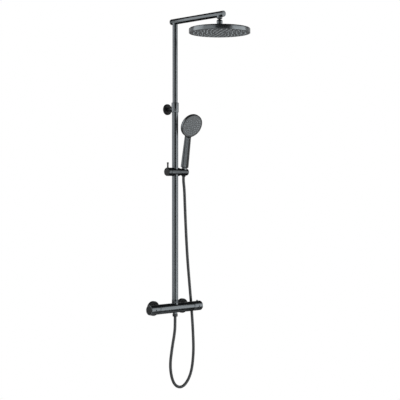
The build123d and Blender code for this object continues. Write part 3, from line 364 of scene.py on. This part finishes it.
# The hose comes to the cone in line with the handle and ends inside it.
HOSE_END = HANDLE_FOOT - HANDLE_AXIS * 9.0
HOSE_LEAD = HOSE_END - HANDLE_AXIS * 20
HOSE_ROUTE = [
    (0, -46, -30), (0, -46, -50), (-1, -46, -90), (-16, -46, -152), (-27, -45, -226),
    (-3, -41, -296), (51, -34, -315), (102, -27, -271), (123, -20, -189), (124, -15, -104),
    (119, -13.5, -29), (111, -14, 40), (100, -17, 110), (88, -21.5, 182), (77, -27, 256),
    (66.7, -33, 331), (57.8, -38.5, 402), (52, -42, 456),
    tuple(HOSE_LEAD), tuple(HOSE_END),
]


def spline_points(route):
    """Points along the NURBS spline of a route, in metres."""
    curve = bpy.data.curves.new("hose_line", "CURVE")
    curve.dimensions = "3D"
    spline = curve.splines.new("NURBS")
    spline.points.add(len(route) - 1)
    for point, (x, y, z) in zip(spline.points, route):
        point.co = (x * MM, y * MM, z * MM, 1)
    spline.order_u = 3
    spline.use_endpoint_u = True
    curve.resolution_u = 10
    line = bpy.data.objects.new("hose_line", curve)
    bpy.context.scene.collection.objects.link(line)
    bpy.context.view_layer.update()
    mesh = bpy.data.meshes.new_from_object(line)
    points = [vertex.co.copy() for vertex in mesh.vertices]
    bpy.data.objects.remove(line)
    bpy.data.curves.remove(curve)
    bpy.data.meshes.remove(mesh)
    return points


hose_line = spline_points(HOSE_ROUTE)
hose_length = sum((b - a).length for a, b in zip(hose_line, hose_line[1:]))
print("hose line: %d points, %.3f m" % (len(hose_line), hose_length))


# %% Hose tube
def tangents(points):
    """Direction of a line at each of its points."""
    ends = zip([points[0]] + points[:-1], points[1:] + [points[-1]])
    return [(after - before).normalized() for before, after in ends]


def tube(name, points, directions, across):
    """Closed tube through points; across holds a steady sideways direction for each."""
    vertices = []
    for point, along, side in zip(points, directions, across):
        other = along.cross(side)
        for step in range(HOSE_SIDES):
            angle = 2 * math.pi * step / HOSE_SIDES
            spoke = side * math.cos(angle) + other * math.sin(angle)
            vertices.append(point + spoke * HOSE_R * MM)
    faces = []
    for ring in range(len(points) - 1):
        for step in range(HOSE_SIDES):
            a, b = ring * HOSE_SIDES + step, ring * HOSE_SIDES + (step + 1) % HOSE_SIDES
            faces.append((a, b, b + HOSE_SIDES, a + HOSE_SIDES))
    last = (len(points) - 1) * HOSE_SIDES
    faces.append(tuple(reversed(range(HOSE_SIDES))))
    faces.append(tuple(range(last, last + HOSE_SIDES)))
    mesh = bpy.data.meshes.new(name)
    mesh.from_pydata([tuple(v) for v in vertices], [], faces)
    mesh.update()
    piece = bpy.data.objects.new(name, mesh)
    bpy.context.scene.collection.objects.link(piece)
    return piece


# %% Hose stretches
BEND_HEIGHTS = (0.306, 0.374, 0.442)
hose_directions = tangents(hose_line)
hose_across = [hose_directions[0].orthogonal().normalized()]
for along in hose_directions[1:]:
    side = hose_across[-1] - along * hose_across[-1].dot(along)
    hose_across.append(side.normalized())

# Each stretch ends at a height on the rising side: the lowest point, then three bends.
lowest = min(range(len(hose_line)), key=lambda i: hose_line[i].z)
cuts = [0, lowest]
for height in BEND_HEIGHTS:
    rising = range(lowest, len(hose_line))
    cuts.append(min(rising, key=lambda i: abs(hose_line[i].z - height)))
cuts.append(len(hose_line) - 1)
STRETCHES = [
    ("hose_from_mixer", None),
    ("hose_rising", ("column", "riser_shoe")),
    ("hose_at_slider", ("riser_shoe", "slider")),
    ("hose_at_holder", ("slider", "holder")),
    ("hose_to_cone", ("holder", "hose_end")),
]
for (name, bodies), first, last in zip(STRETCHES, cuts, cuts[1:]):
    path = hose_line[first:last + 1]
    directions, across = hose_directions[first:last + 1], hose_across[first:last + 1]
    piece = tube(name, path, directions, across)
    finished(piece, soft_black, None if bodies else "column", "black_hose", "hose")
    if bodies:
        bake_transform(piece)

# %% [markdown]
# ## Wall flanges and union nuts
# Two round cover flanges hide where the water pipes leave the wall. Each is a thin
# pressed cup with a softly rolled front edge, so its outline has a wide arc there and is
# hollow behind. The union nuts that hold the mixer on the pipes are plain rings with
# rounded edges. One loop makes the left and the right side.

# %% Wall flanges and union nuts
INLET_X = 75.0
FLANGE_OUTLINE = [(28, 0)] + rounding((24.5, 8.5), 3.5, 0, 90) + [
    (10.6, 12), (10.6, 10), (24.5, 10), (26, 8.5), (26, 0)]
UNION_NUT_OUTLINE = [
    (10.6, 12.1), (16, 12.1), (16, 26.7), (12.6, 26.7), (12.6, 14.6), (10.6, 14.6)]
for side, name in ((-1, "left"), (1, "right")):
    at_inlet = place_at((side * INLET_X, 0, 0), OUT_OF_WALL)
    flange = round_edges(turned(name + "_flange", at_inlet, FLANGE_OUTLINE, 96), 0.4)
    finished(flange, matt_black, "column", "black_metal", name + "_wall_flange")
    nut = round_edges(turned(name + "_union_nut", at_inlet, UNION_NUT_OUTLINE), 0.8)
    finished(nut, coated_black, "column", "black_metal", "union_nuts")

# %% [markdown]
# ## The mixer's body
# The bar is one casting: a tube with a pad for the riser on top, a stub for the hose
# below and two bosses towards the wall. It is turned as a bar that is hollow at both
# ends, with bevelled rims that leave a fine seam beside each knob. The pad, stub and
# bosses are then added as rods.

# %% Mixer body
BODY_HALF = 88.0
BODY_R = 18.5
CAVITY_R = 14.5
CAVITY_END = 30.0
SEAM = 1.2
PAD_R, PAD_TOP = 12.6, 19.5
STUB_R, STUB_END = 8.5, -22.0
BOSS_R, BOSS_END = 12.5, -18.8
mixer = turned("mixer_bar", place_at((0, AXIS_Y, 0), RIGHT), [
    (0, -CAVITY_END), (CAVITY_R, -CAVITY_END), (CAVITY_R, -BODY_HALF),
    (BODY_R - SEAM, -BODY_HALF), (BODY_R, SEAM - BODY_HALF),
    (BODY_R, BODY_HALF - SEAM), (BODY_R - SEAM, BODY_HALF),
    (CAVITY_R, BODY_HALF), (CAVITY_R, CAVITY_END), (0, CAVITY_END)], 96)
round_edges(mixer, 0.3)
for end, radius in ((PAD_TOP, PAD_R), (STUB_END, STUB_R)):
    combine(mixer, round_edges(rod((0, AXIS_Y, 0), (0, AXIS_Y, end), radius), 0.4), "UNION")
for x in (-INLET_X, INLET_X):
    combine(mixer, rod((x, AXIS_Y, 0), (x, BOSS_END, 0), BOSS_R), "UNION")
finished(mixer, coated_black, "column", "black_metal", "mixer_body")

# %% [markdown]
# ## Knobs, caps and set screws
# The left knob sets the flow and the right one the temperature. Both are sleeves with a
# hub inside, a rounded outer rim and a cap let in a little below it. A hole at the front
# takes the set screw, and the right knob has a well on top for its stop button.

# %% Knobs
KNOB_IN = 88.4
KNOB_OUT = 131.4
KNOB_R = 18.5
KNOB_BORE_R = 16.0
KNOB_RIM = 1.3
HUB_IN, HUB_OUT, HUB_BORE_R = 106.4, 126.4, 5.0
BUTTON_X, BUTTON_WELL_R = 116.4, 3.48
GRUB_X, GRUB_HOLE_R, GRUB_IN = 111.4, 2.5, 5.0
KNOB_OUTLINE = [
    (KNOB_BORE_R, KNOB_IN), (KNOB_R - SEAM, KNOB_IN), (KNOB_R, KNOB_IN + SEAM)]
KNOB_OUTLINE += rounding((KNOB_R - KNOB_RIM, KNOB_OUT - KNOB_RIM), KNOB_RIM, 0, 90)
KNOB_OUTLINE += [
    (KNOB_BORE_R, KNOB_OUT), (KNOB_BORE_R, HUB_OUT), (HUB_BORE_R, HUB_OUT),
    (HUB_BORE_R, HUB_IN), (KNOB_BORE_R, HUB_IN)]
CAP_OUTLINE = [(0, 128.6), (15.9, 128.6)] + rounding((15.2, 129.9), 0.7, 0, 90, 4) + [
    (8, 130.75), (0, 130.8)]
SCREW_OUTLINE = [(0, 0), (2.4, 0), (2.4, 8), (0, 8)]
for side, direction, job in ((-1, LEFT, "flow"), (1, RIGHT, "temperature")):
    axis = place_at((0, AXIS_Y, 0), direction)
    grub = Vector((side * GRUB_X, AXIS_Y, 0))
    knob = round_edges(turned(job + "_sleeve", axis, KNOB_OUTLINE, 96), 0.3)
    drilled(knob, grub, grub + OUT_OF_WALL * 20, GRUB_HOLE_R)
    if job == "temperature":
        drilled(knob, (BUTTON_X, AXIS_Y, 9.5), (BUTTON_X, AXIS_Y, 22), BUTTON_WELL_R)
    finished(knob, moulded_black, job + "_control", "black_knobs", job + "_knob")
    cap = turned(job + "_cap", axis, CAP_OUTLINE, 96)
    finished(cap, matt_black, job + "_control", "black_knobs", job + "_knob_cap")
    in_hole = place_at(grub + OUT_OF_WALL * GRUB_IN, OUT_OF_WALL)
    screw = round_edges(turned(job + "_screw", in_hole, SCREW_OUTLINE, 24), 0.25)
    six_sided_socket = rod(grub + OUT_OF_WALL * 10, grub + OUT_OF_WALL * 14, 1.3, 6)
    combine(screw, six_sided_socket, "DIFFERENCE")
    finished(screw, matt_black, job + "_control", "steel", job + "_grub_screw")

# %% Stop button
BUTTON_OUTLINE = [(0, 14), (3.4, 14)] + rounding((1.9, 21), 1.5, 0, 90) + [(0, 22.5)]
button = turned("stop_button", place_at((BUTTON_X, AXIS_Y, 0), UP), BUTTON_OUTLINE, 32)
finished(button, moulded_black, "safety_stop", "black_knobs", "safety_button")

# %% [markdown]
# ## Riser connector and wall bracket
# A ring carries the riser on the mixer. Higher up a sleeve clamps the riser where its
# two tubes meet, with a round stem to a small flange on the wall.

# %% Riser connector and bracket
riser_axis = place_at((0, AXIS_Y, 0), UP)
connector = turned("riser_ring", riser_axis, [
    (9.1, PAD_TOP), (PAD_R, PAD_TOP), (PAD_R, 32), (10.7, 32), (10.7, 50), (6, 50), (6, 30.5),
    (9.1, 30.5)])
finished(round_edges(connector, 0.6), slider_black, "column", "black_metal", "riser_connector")

BRACKET_Z = 759.0
STEM_R = 7.0
COVER_OUTLINE = [(21, 0)] + rounding((18, 4), 3, 0, 90) + [
    (7.1, 7), (7.1, 5.5), (18, 5.5), (19.5, 4), (19.5, 0)]
collar = turned("bracket_sleeve", riser_axis, [
    (12.1, 746), (13.8, 746), (13.8, 783), (10.3, 783), (10.3, 777), (12.1, 777)])
round_edges(collar, 0.8)
stem_root = rod((0, AXIS_Y + 12.8, BRACKET_Z), (0, AXIS_Y + 16, BRACKET_Z), STEM_R)
combine(collar, stem_root, "UNION")
finished(collar, coated_black, "column", "black_metal", "bracket_collar")
cover = turned("bracket_cover", place_at((0, 0, BRACKET_Z), OUT_OF_WALL), COVER_OUTLINE, 96)
finished(round_edges(cover, 0.3), matt_black, "column", "black_metal", "bracket_flange")
nodes["bracket_stem"].data.materials[0] = matt_black

# %% [markdown]
# ## The overhead arm
# A straight tube closed by a round back cap and a flatter front cap. Below it are the
# boss that turns on the riser and the collar of the overhead shower's outlet.

# %% Arm and its caps
ARM_R, ARM_BACK, ARM_FRONT = 11.0, 18.0, 259.0
SWIVEL_R, SWIVEL_Z = 10.0, 1079.2
OUTLET_R, OUTLET_Z = 10.4, 1079.7
arm = turned("arm_tube", place_at((0, AXIS_Y, ARM_Z), OUT_OF_WALL), [
    (0, -ARM_BACK), (ARM_R, -ARM_BACK), (ARM_R, ARM_FRONT), (0, ARM_FRONT)])
round_edges(arm, 0.25, 2)
swivel = rod((0, AXIS_Y, SWIVEL_Z), (0, AXIS_Y, ARM_Z), SWIVEL_R, 64)
combine(arm, round_edges(swivel, 0.4), "UNION")
outlet = rod((0, HEAD_Y, OUTLET_Z), (0, HEAD_Y, ARM_Z), OUTLET_R)
combine(arm, round_edges(outlet, 0.3), "UNION")
finished(arm, coated_black, "overhead_arm", "black_metal", "rain_arm")
CAP_PLUG = [(0, -6), (8.9, -6), (8.9, 0), (10.8, 0), (11, 0.2)]
back_cap = turned("arm_back_end", place_at((0, AXIS_Y + ARM_BACK, ARM_Z), TO_WALL),
    CAP_PLUG + rounding((8.4, 0.4), 2.6, 0, 90) + [(0, 3)])
finished(back_cap, coated_black, "overhead_arm", "black_metal", "arm_back_cap")
front_cap = turned("arm_front_end", place_at((0, AXIS_Y - ARM_FRONT, ARM_Z), OUT_OF_WALL),
    CAP_PLUG + rounding((9.6, 1.6), 1.4, 0, 90) + [(0, 3)])
finished(front_cap, coated_black, "overhead_arm", "black_metal", "arm_front_cap")

# %% [markdown]
# ## The ball joint
# The overhead shower hangs on a ball under the arm. The nipple flares out to the arm's
# collar in a smooth curve, and the nut around the ball is egg-shaped. Nut and shower are
# hollowed around the ball, to leave room for the seat ring when the shower tilts.

# %% Ball joint
BALL_Z = 1064.2
BALL_R = 5.5
SEAT_R = 6.8
head_axis = place_at((0, HEAD_Y, 0), UP)
nipple = turned("ball_stem", head_axis, [
    (0, 1087.7), (5, 1087.7), (5, OUTLET_Z), (10.1, OUTLET_Z), (OUTLET_R, 1079.4),
    (OUTLET_R, 1077.0), (10.0, 1076.4), (9.2, 1076.0), (8.2, 1075.7), (5.6, 1074.8),
    (4.0, 1074.2), (3.2, 1073.8), (3.2, 1069)]
    + rounding((0, BALL_Z), BALL_R, 50, -90, 12)[:-1] + [(0, BALL_Z - BALL_R)], 48)
finished(nipple, coated_black, "overhead_arm", "black_metal", "ball_nipple")
ball_nut = turned("ball_cover", place_at((0, HEAD_Y, BALL_Z), UP),
    [(7.3, -12.5), (8.9, -12.5), (9.2, -12.1), (9.9, -9.5), (10.5, -6.5), (10.9, -3.5)]
    + rounding((5, 2.6), 6, 0, 84, 8)
    + [(5.4, 8.5), (4.35, 3.6), (5.1, 2.4), (5.65, 0), (5.65, -0.8), (SEAT_R, -0.8),
       (SEAT_R, -2.5), (7.3, -2.5)], 64)
finished(ball_nut, coated_black, "overhead_shower", "black_metal", "ball_nut")

# %% [markdown]
# ## The overhead shower
# A flat disc with a rounded shoulder and a short neck. It is turned hollow, because the
# spray face sits inside its rim. The neck runs into the top in a fillet.

# %% Overhead shower shell
HEAD_R = 112.5
HEAD_TOP = 1040.7
HEAD_BOTTOM = 1023.2
HEAD_BEVEL = 4.0
HEAD_LIP = 0.8
HEAD_INNER_R = 110.0
CEILING_Z = HEAD_TOP - 2.5
NECK_R, NECK_TOP = 7.2, 1061.7
COLLAR_R, COLLAR_TOP = 9.2, 1050.7
FILLET = 6.8
shell = turned("rain_shell", head_axis,
    rounding((0, BALL_Z), SEAT_R, -61, -22, 6)
    + [(NECK_R, NECK_TOP), (NECK_R, COLLAR_TOP), (COLLAR_R, COLLAR_TOP)]
    + rounding((COLLAR_R + FILLET, HEAD_TOP + FILLET), FILLET, 180, 270, 8)
    + rounding((HEAD_R - HEAD_BEVEL, HEAD_TOP - HEAD_BEVEL), HEAD_BEVEL, 90, 0, 8)
    + rounding((HEAD_R - HEAD_LIP, HEAD_BOTTOM + HEAD_LIP), HEAD_LIP, 0, -90, 4)
    + [(HEAD_INNER_R + 0.3, HEAD_BOTTOM), (HEAD_INNER_R, HEAD_BOTTOM + 0.3),
       (HEAD_INNER_R, CEILING_Z - 2.8), (HEAD_INNER_R - 2.8, CEILING_Z), (3.3, CEILING_Z)], 160)
finished(shell, head_black, "overhead_shower", "black_shell", "head_shell")

# %% [markdown]
# ## Nozzles
# Both showers have soft nozzles that stand a little out of the spray face, in rings of
# six, twelve and so on. One is modelled as a short cone with an inset opening, and the
# copies are joined into one piece. A nozzle has few faces because there are many.

# %% Nozzle
NOZZLE_IN, NOZZLE_OUT = -4.0, 1.2
# Shares of a nozzle's length, with the scale at the end of each.
NOZZLE_STEPS = ((0.7, 0.97), (0.22, 0.84), (0.08, 0.84))
# The opening's wall and depth, as shares of the nozzle's radius.
NOZZLE_WALL, NOZZLE_DIP = 0.34, 0.8


def nozzle(radius):
    """One nozzle along +Z, closed at its inner end, in millimetres."""
    only()
    bpy.ops.mesh.primitive_circle_add(vertices=12, radius=radius * MM, fill_type="NGON",
                                      location=(0, 0, NOZZLE_IN * MM))
    piece = bpy.context.object
    bpy.ops.object.mode_set(mode="EDIT")
    bpy.ops.mesh.select_all(action="SELECT")
    run = NOZZLE_OUT - NOZZLE_IN
    for share, scale in NOZZLE_STEPS:
        step = {"value": (0, 0, run * share * MM)}
        bpy.ops.mesh.extrude_region_move(TRANSFORM_OT_translate=step)
        bpy.ops.transform.resize(value=(scale, scale, 1))
    bpy.ops.mesh.inset(thickness=radius * NOZZLE_WALL * MM)
    dip = {"value": (0, 0, -radius * NOZZLE_DIP * MM)}
    bpy.ops.mesh.extrude_region_move(TRANSFORM_OT_translate=dip)
    bpy.ops.mesh.select_all(action="SELECT")
    bpy.ops.mesh.normals_make_consistent(inside=False)
    bpy.ops.object.mode_set(mode="OBJECT")
    bpy.ops.object.transform_apply(location=True, rotation=True, scale=True)
    return piece


# %% Rings of nozzles
HEAD_RINGS, HEAD_PITCH, HEAD_NOZZLE_R = 6, 16.0, 1.8
HAND_RINGS, HAND_PITCH, HAND_NOZZLE_R = 4, 8.65, 1.4


def nozzle_rings(name, place, first, rings, pitch):
    """Copies of a nozzle at a centre and on rings, joined into one piece."""
    spots = [(0, 0)]
    for ring in range(1, rings + 1):
        for step in range(6 * ring):
            angle = 2 * math.pi * step / (6 * ring)
            spots.append((ring * pitch * math.cos(angle), ring * pitch * math.sin(angle)))
    copies = [first]
    for x, y in spots[1:]:
        copy = first.copy()
        copy.data = first.data.copy()
        copy.location = (x * MM, y * MM, 0)
        bpy.context.scene.collection.objects.link(copy)
        copies.append(copy)
    only(first)
    for copy in copies:
        copy.select_set(True)
    bpy.ops.object.join()
    first.name = name
    first.matrix_world = place
    bpy.ops.object.transform_apply(location=True, rotation=True, scale=True)
    return first


DOWN = Vector((0, 0, -1))
under_head = place_at((0, HEAD_Y, HEAD_BOTTOM), DOWN)
head_nozzles = nozzle_rings(
    "rain_nozzles", under_head, nozzle(HEAD_NOZZLE_R), HEAD_RINGS, HEAD_PITCH)
finished(head_nozzles, nozzle_grey, "overhead_shower", "nozzle_rubber", "head_nozzle_mat")
hand_face = place_at(HANDSET_CENTRE, HANDSET_NORMAL, HANDLE_SIDE)
hand_nozzles = nozzle_rings(
    "hand_nozzles", hand_face, nozzle(HAND_NOZZLE_R), HAND_RINGS, HAND_PITCH)
finished(hand_nozzles, nozzle_grey, "handset", "nozzle_rubber", "handset_nozzle_mat")

# %% [markdown]
# ## The slider
# One thick bar across the riser: a clamp knob with a short lever on the left, the body
# with the riser's hole in the middle, and on the right the holder for the hand shower,
# whose hole tapers like the cone in it.

# %% Slider and clamp
SLIDER_R, SLIDER_LEFT, SLIDER_RIGHT = 16.0, -28.0, 18.6
RISER_HOLE_R = 14.06
slider_axis = place_at((0, AXIS_Y, SLIDER_Z), RIGHT)
slider = turned("slider_bar", slider_axis, [
    (0, SLIDER_LEFT), (SLIDER_R, SLIDER_LEFT), (SLIDER_R, SLIDER_RIGHT), (0, SLIDER_RIGHT)], 96)
round_edges(slider, 0.7)
drilled(slider, (0, AXIS_Y, SLIDER_Z - 20), (0, AXIS_Y, SLIDER_Z + 20), RISER_HOLE_R)
finished(slider, slider_black, "slider", "black_shell", "slider_body")
clamp = turned("clamp_wheel", place_at((0, AXIS_Y, SLIDER_Z), LEFT),
    [(0, 28.3), (15.4, 28.3), (16, 28.9)] + rounding((13.8, 41.3), 2.2, 0, 90) + [(0, 43.5)], 96)
finished(clamp, slider_black, "clamp", "black_shell", "clamp_knob")
dress_faces(clamp, matt_black, LEFT, 0.7)

# %% Lever and holder
LEVER_X = -37.6
lever = turned("clamp_peg", place_at((LEVER_X, AXIS_Y, SLIDER_Z), UP), [
    (0, 9), (3.6, 9), (3.6, 16), (3.3, 17.2), (3.1, 19), (3.1, 30.2), (3.3, 31), (3.6, 31.7)]
    + rounding((2.2, 34.6), 1.4, 0, 90) + [(0, 36)], 32)
finished(lever, matt_black, "clamp", "black_shell", "clamp_lever")

handle_axis = place_at(HANDLE_FOOT, HANDLE_AXIS)
holder = turned("holder_bar", slider_axis,
    [(0, 18.9), (13, 18.9), (13.5, 19.4)] + rounding((12, 59.6), 1.5, 0, 90) + [(0, 61.1)], 96)
taper = turned("taper", handle_axis, [(0, -27), (7.6, -27), (11.4, 27), (0, 27)])
combine(holder, taper, "DIFFERENCE")
finished(holder, slider_black, "holder", "black_shell", "handset_holder")

# %% [markdown]
# ## The hand shower
# The shell is one moulding, a tapered handle that runs into a round head. Handle and
# head are turned apart and united, and a voxel remesh with a little smoothing melts the
# joint between them into a fillet. The recess for the face is cut last, so it stays crisp.

# %% Hand shower shell
HANDSET_R = 46.2
RECESS_R, RECESS_DEPTH = 43.2, 7.0
FRONT_R = 46.5
MELT_VOXEL = 1.0
MELT_PASSES = 8


def in_front(bottom, radius, top):
    """Disc before the hand shower's face, to cut away what stands there."""
    outline = [(0, bottom), (radius, bottom), (radius, top), (0, top)]
    return turned("front", hand_face, outline, 128)


hand_shell = turned("hand_shell", hand_face,
    [(0, -15)] + rounding((35, -6), 9, -90, -60, 4) + rounding((HANDSET_R - 8, -7), 8, -45, 0, 6)
    + [(HANDSET_R, 2), (0, 2)], 128)
handle = turned("handle", handle_axis,
    [(0, 17.5)] + rounding((13.7, 19), 1.5, -90, 0, 4)
    + [(14.2, 62), (13.2, 106), (12.2, 150), (7, 172), (0, 172)], 64)
combine(handle, in_front(0, FRONT_R, 90), "DIFFERENCE")
combine(hand_shell, handle, "UNION")
only(hand_shell)
melt = hand_shell.modifiers.new("Melted", "REMESH")
melt.mode = "VOXEL"
melt.voxel_size = MELT_VOXEL * MM
bpy.ops.object.modifier_apply(modifier=melt.name)
soften = hand_shell.modifiers.new("Softened", "SMOOTH")
soften.factor = 0.5
soften.iterations = MELT_PASSES
bpy.ops.object.modifier_apply(modifier=soften.name)
combine(hand_shell, in_front(0, FRONT_R, 9), "DIFFERENCE")
combine(hand_shell, in_front(-RECESS_DEPTH, RECESS_R, 4), "DIFFERENCE")
finished(hand_shell, handset_black, "handset", "black_shell", "handset_shell", smooth=40)
dress_faces(hand_shell, matt_black, HANDSET_NORMAL)

# %% Hose cone
cone = turned("hose_end_cone", handle_axis, [
    (6.9, -17), (7.6, -17), (8, -16.5), (10.35, 16.7), (10, 17.2), (9.08, 17.2), (9.08, 3.5),
    (4, 3.5), (4, -8.7), (6.9, -8.7)])
finished(cone, coated_black, "hose_end", "black_nuts", "hose_cone")

# %% [markdown]
# ## The hose nut
# A six-sided nut under the mixer. The corners of a real nut are turned off at both ends,
# so a six-sided prism is intersected with a turned barrel.

# %% Hose nut
NUT_BOTTOM, NUT_TOP, NUT_R = -33.0, -22.0, 10.4
hose_nut = rod((0, AXIS_Y, NUT_BOTTOM), (0, AXIS_Y, NUT_TOP), NUT_R, 6)
hose_nut.name = "hose_union"
barrel = turned("barrel", riser_axis, [
    (0, NUT_BOTTOM), (8.9, NUT_BOTTOM), (10.5, -31.9), (10.5, -23.1), (8.9, NUT_TOP), (0, NUT_TOP)])
combine(hose_nut, barrel, "INTERSECT")
round_edges(hose_nut, 0.3, 2, 25)
finished(hose_nut, soft_black, "column", "black_nuts", "hose_nut", smooth=25)

# %% [markdown]
# ## The camera
# The photograph is taken level, from the front left and from far away, so that upright
# lines stay upright. The lens is long, and the picture is shifted instead of tilted.

# %% Camera
VIEW_FROM = math.radians(-44.0)
CAMERA_DISTANCE, CAMERA_HEIGHT, CAMERA_ASIDE = 4070.0, 446.0, 95.1
PICTURE_SIDE, FOCAL_LENGTH, HORIZON_ROW = 400.0, 1066.0, 191.0
SENSOR = 36.0
forward = Vector((-math.sin(VIEW_FROM), math.cos(VIEW_FROM), 0))
right = Vector((forward.y, -forward.x, 0))
column_middle = Vector((0, AXIS_Y, CAMERA_HEIGHT))
camera_point = column_middle - forward * CAMERA_DISTANCE + right * CAMERA_ASIDE
camera = bpy.data.objects.new("Camera", bpy.data.cameras.new("Camera"))
bpy.context.scene.collection.objects.link(camera)
camera.location = camera_point * MM
camera.rotation_mode = "QUATERNION"
camera.rotation_quaternion = forward.to_track_quat("-Z", "Y")
camera.data.sensor_width = SENSOR
camera.data.lens = FOCAL_LENGTH / PICTURE_SIDE * SENSOR
camera.data.shift_y = -(PICTURE_SIDE / 2 - HORIZON_ROW) / PICTURE_SIDE
bpy.context.scene.camera = camera
print("camera: %.0f mm lens" % camera.data.lens)

# %% [markdown]
# ## The floor
# The floor lies far below the column and ends before it would rise into the picture.

# %% Floor
FLOOR_Z = -900.0
FLOOR_R = 1.0
FLOOR_TONE = 0.86
only()
bpy.ops.mesh.primitive_circle_add(vertices=96, radius=FLOOR_R, fill_type="NGON",
                                  location=(0, AXIS_Y * MM, FLOOR_Z * MM))
floor = bpy.context.object
floor.name = "studio_floor"
pale_floor = bpy.data.materials.new("Pale floor")
pale_floor.use_nodes = True
matt = pale_floor.node_tree.nodes["Principled BSDF"]
matt.inputs["Base Color"].default_value = (FLOOR_TONE, FLOOR_TONE, FLOOR_TONE, 1)
matt.inputs["Roughness"].default_value = 0.9
floor.data.materials.append(pale_floor)
print("floor at %.0f mm" % FLOOR_Z)

# %% [markdown]
# ## The room that the column mirrors
# Black satin shows little but what it mirrors, so the world is a plain room. It is dim,
# with pale walls beside and behind the column near its level, and a low pale table in
# front, which the leaning handle mirrors. Smooth steps of a ray's direction draw them.

# %% Steps for the room's light
def from_column(side):
    """Level direction from the column, turned from the camera's line to its right."""
    return Matrix.Rotation(math.radians(side), 3, "Z") @ -forward


def facing(tree, ray, direction):
    """Socket with the cosine between a ray and a direction."""
    product = tree.nodes.new("ShaderNodeVectorMath")
    product.operation = "DOT_PRODUCT"
    product.inputs[1].default_value = direction
    tree.links.new(ray, product.inputs[0])
    return product.outputs["Value"]


def joined(tree, operation, *sockets):
    """Socket that joins sockets, two by two, with one operation of a Math node."""
    total = sockets[0]
    for socket in sockets[1:]:
        step = tree.nodes.new("ShaderNodeMath")
        step.operation = operation
        tree.links.new(total, step.inputs[0])
        tree.links.new(socket, step.inputs[1])
        total = step.outputs[0]
    return total


def steady(tree, level):
    """Socket that always gives one level."""
    value = tree.nodes.new("ShaderNodeValue")
    value.outputs[0].default_value = level
    return value.outputs[0]


def smooth_step(tree, socket, start, end):
    """Socket that rises smoothly from 0 to 1 while the given one goes from start to end."""
    step = tree.nodes.new("ShaderNodeMapRange")
    step.interpolation_type = "SMOOTHSTEP"
    step.inputs["From Min"].default_value = start
    step.inputs["From Max"].default_value = end
    tree.links.new(socket, step.inputs["Value"])
    return step.outputs["Result"]


# %% [markdown]
# ## The world
# Light Path tells the camera's rays from the others: where the camera looks past the
# column the backdrop is white, and all other rays meet the room.

# %% World
ROOM_LEVEL = 0.05
WALL_LEVEL = 0.7
WALL_SIDES = (-0.25, 0.25)
WALL_SLOPES = (0.32, 0.12)
TABLE_LEVEL = 2.8
TABLE_SIDE = 28.0
TABLE_SPREAD = (0.45, 0.75)
TABLE_TOP = (-0.14, -0.2)
TABLE_FOOT = (-0.45, -0.36)
world = bpy.data.worlds.new("Studio")
bpy.context.scene.world = world
world.use_nodes = True
tree = world.node_tree
rays = tree.nodes.new("ShaderNodeLightPath").outputs
ray = tree.nodes.new("ShaderNodeTexCoord").outputs["Generated"]
parts = tree.nodes.new("ShaderNodeSeparateXYZ")
tree.links.new(ray, parts.inputs[0])
height = parts.outputs["Z"]
slope = tree.nodes.new("ShaderNodeMath")
slope.operation = "ABSOLUTE"
tree.links.new(height, slope.inputs[0])
walls = joined(tree, "MULTIPLY", steady(tree, WALL_LEVEL),
               smooth_step(tree, facing(tree, ray, forward), *WALL_SIDES),
               smooth_step(tree, slope.outputs[0], *WALL_SLOPES))
table = joined(tree, "MULTIPLY", steady(tree, TABLE_LEVEL),
               smooth_step(tree, facing(tree, ray, from_column(TABLE_SIDE)), *TABLE_SPREAD),
               smooth_step(tree, height, *TABLE_TOP), smooth_step(tree, height, *TABLE_FOOT))
room = joined(tree, "MAXIMUM", steady(tree, ROOM_LEVEL), walls, table)
seen = joined(tree, "MAXIMUM", room, rays["Is Camera Ray"], rays["Is Transmission Ray"])
background = tree.nodes["Background"]
tree.links.new(seen, background.inputs["Strength"])
background.inputs["Color"].default_value = (1, 1, 1, 1)
print("world:", len(tree.nodes), "nodes")

# %% [markdown]
# ## The lamps
# Three wide soft lamps stand to the right, to the front left and to the far left of the
# column. They draw the pale strips along the tubes, and the gap between the first two is
# the thin dark line down their middle.

# %% Lamps
LAMP_DISTANCE = 2.2
AIM_HEIGHT = 0.5
# Name, degrees to the camera's right, height, width and height of the lamp, power.
LAMPS = (
    ("right_lamp", 74, 0.42, (2.54, 2.35), 49),
    ("left_front_lamp", -36, 0.6, (1.96, 2.1), 17),
    ("left_side_lamp", -84, 1.05, (1.96, 2.8), 41),
)
for name, side, height, size, power in LAMPS:
    light = bpy.data.lights.new(name, "AREA")
    light.shape = "RECTANGLE"
    light.size, light.size_y = size
    light.energy = power
    lamp = bpy.data.objects.new(name, light)
    bpy.context.scene.collection.objects.link(lamp)
    lamp.location = Vector((0, AXIS_Y * MM, height)) + from_column(side) * LAMP_DISTANCE
    aim = Vector((0, AXIS_Y * MM, AIM_HEIGHT)) - lamp.location
    lamp.rotation_mode = "QUATERNION"
    lamp.rotation_quaternion = aim.to_track_quat("-Z", "Y")
bpy.context.scene.view_settings.view_transform = "Standard"
print("lamps:", len(LAMPS))
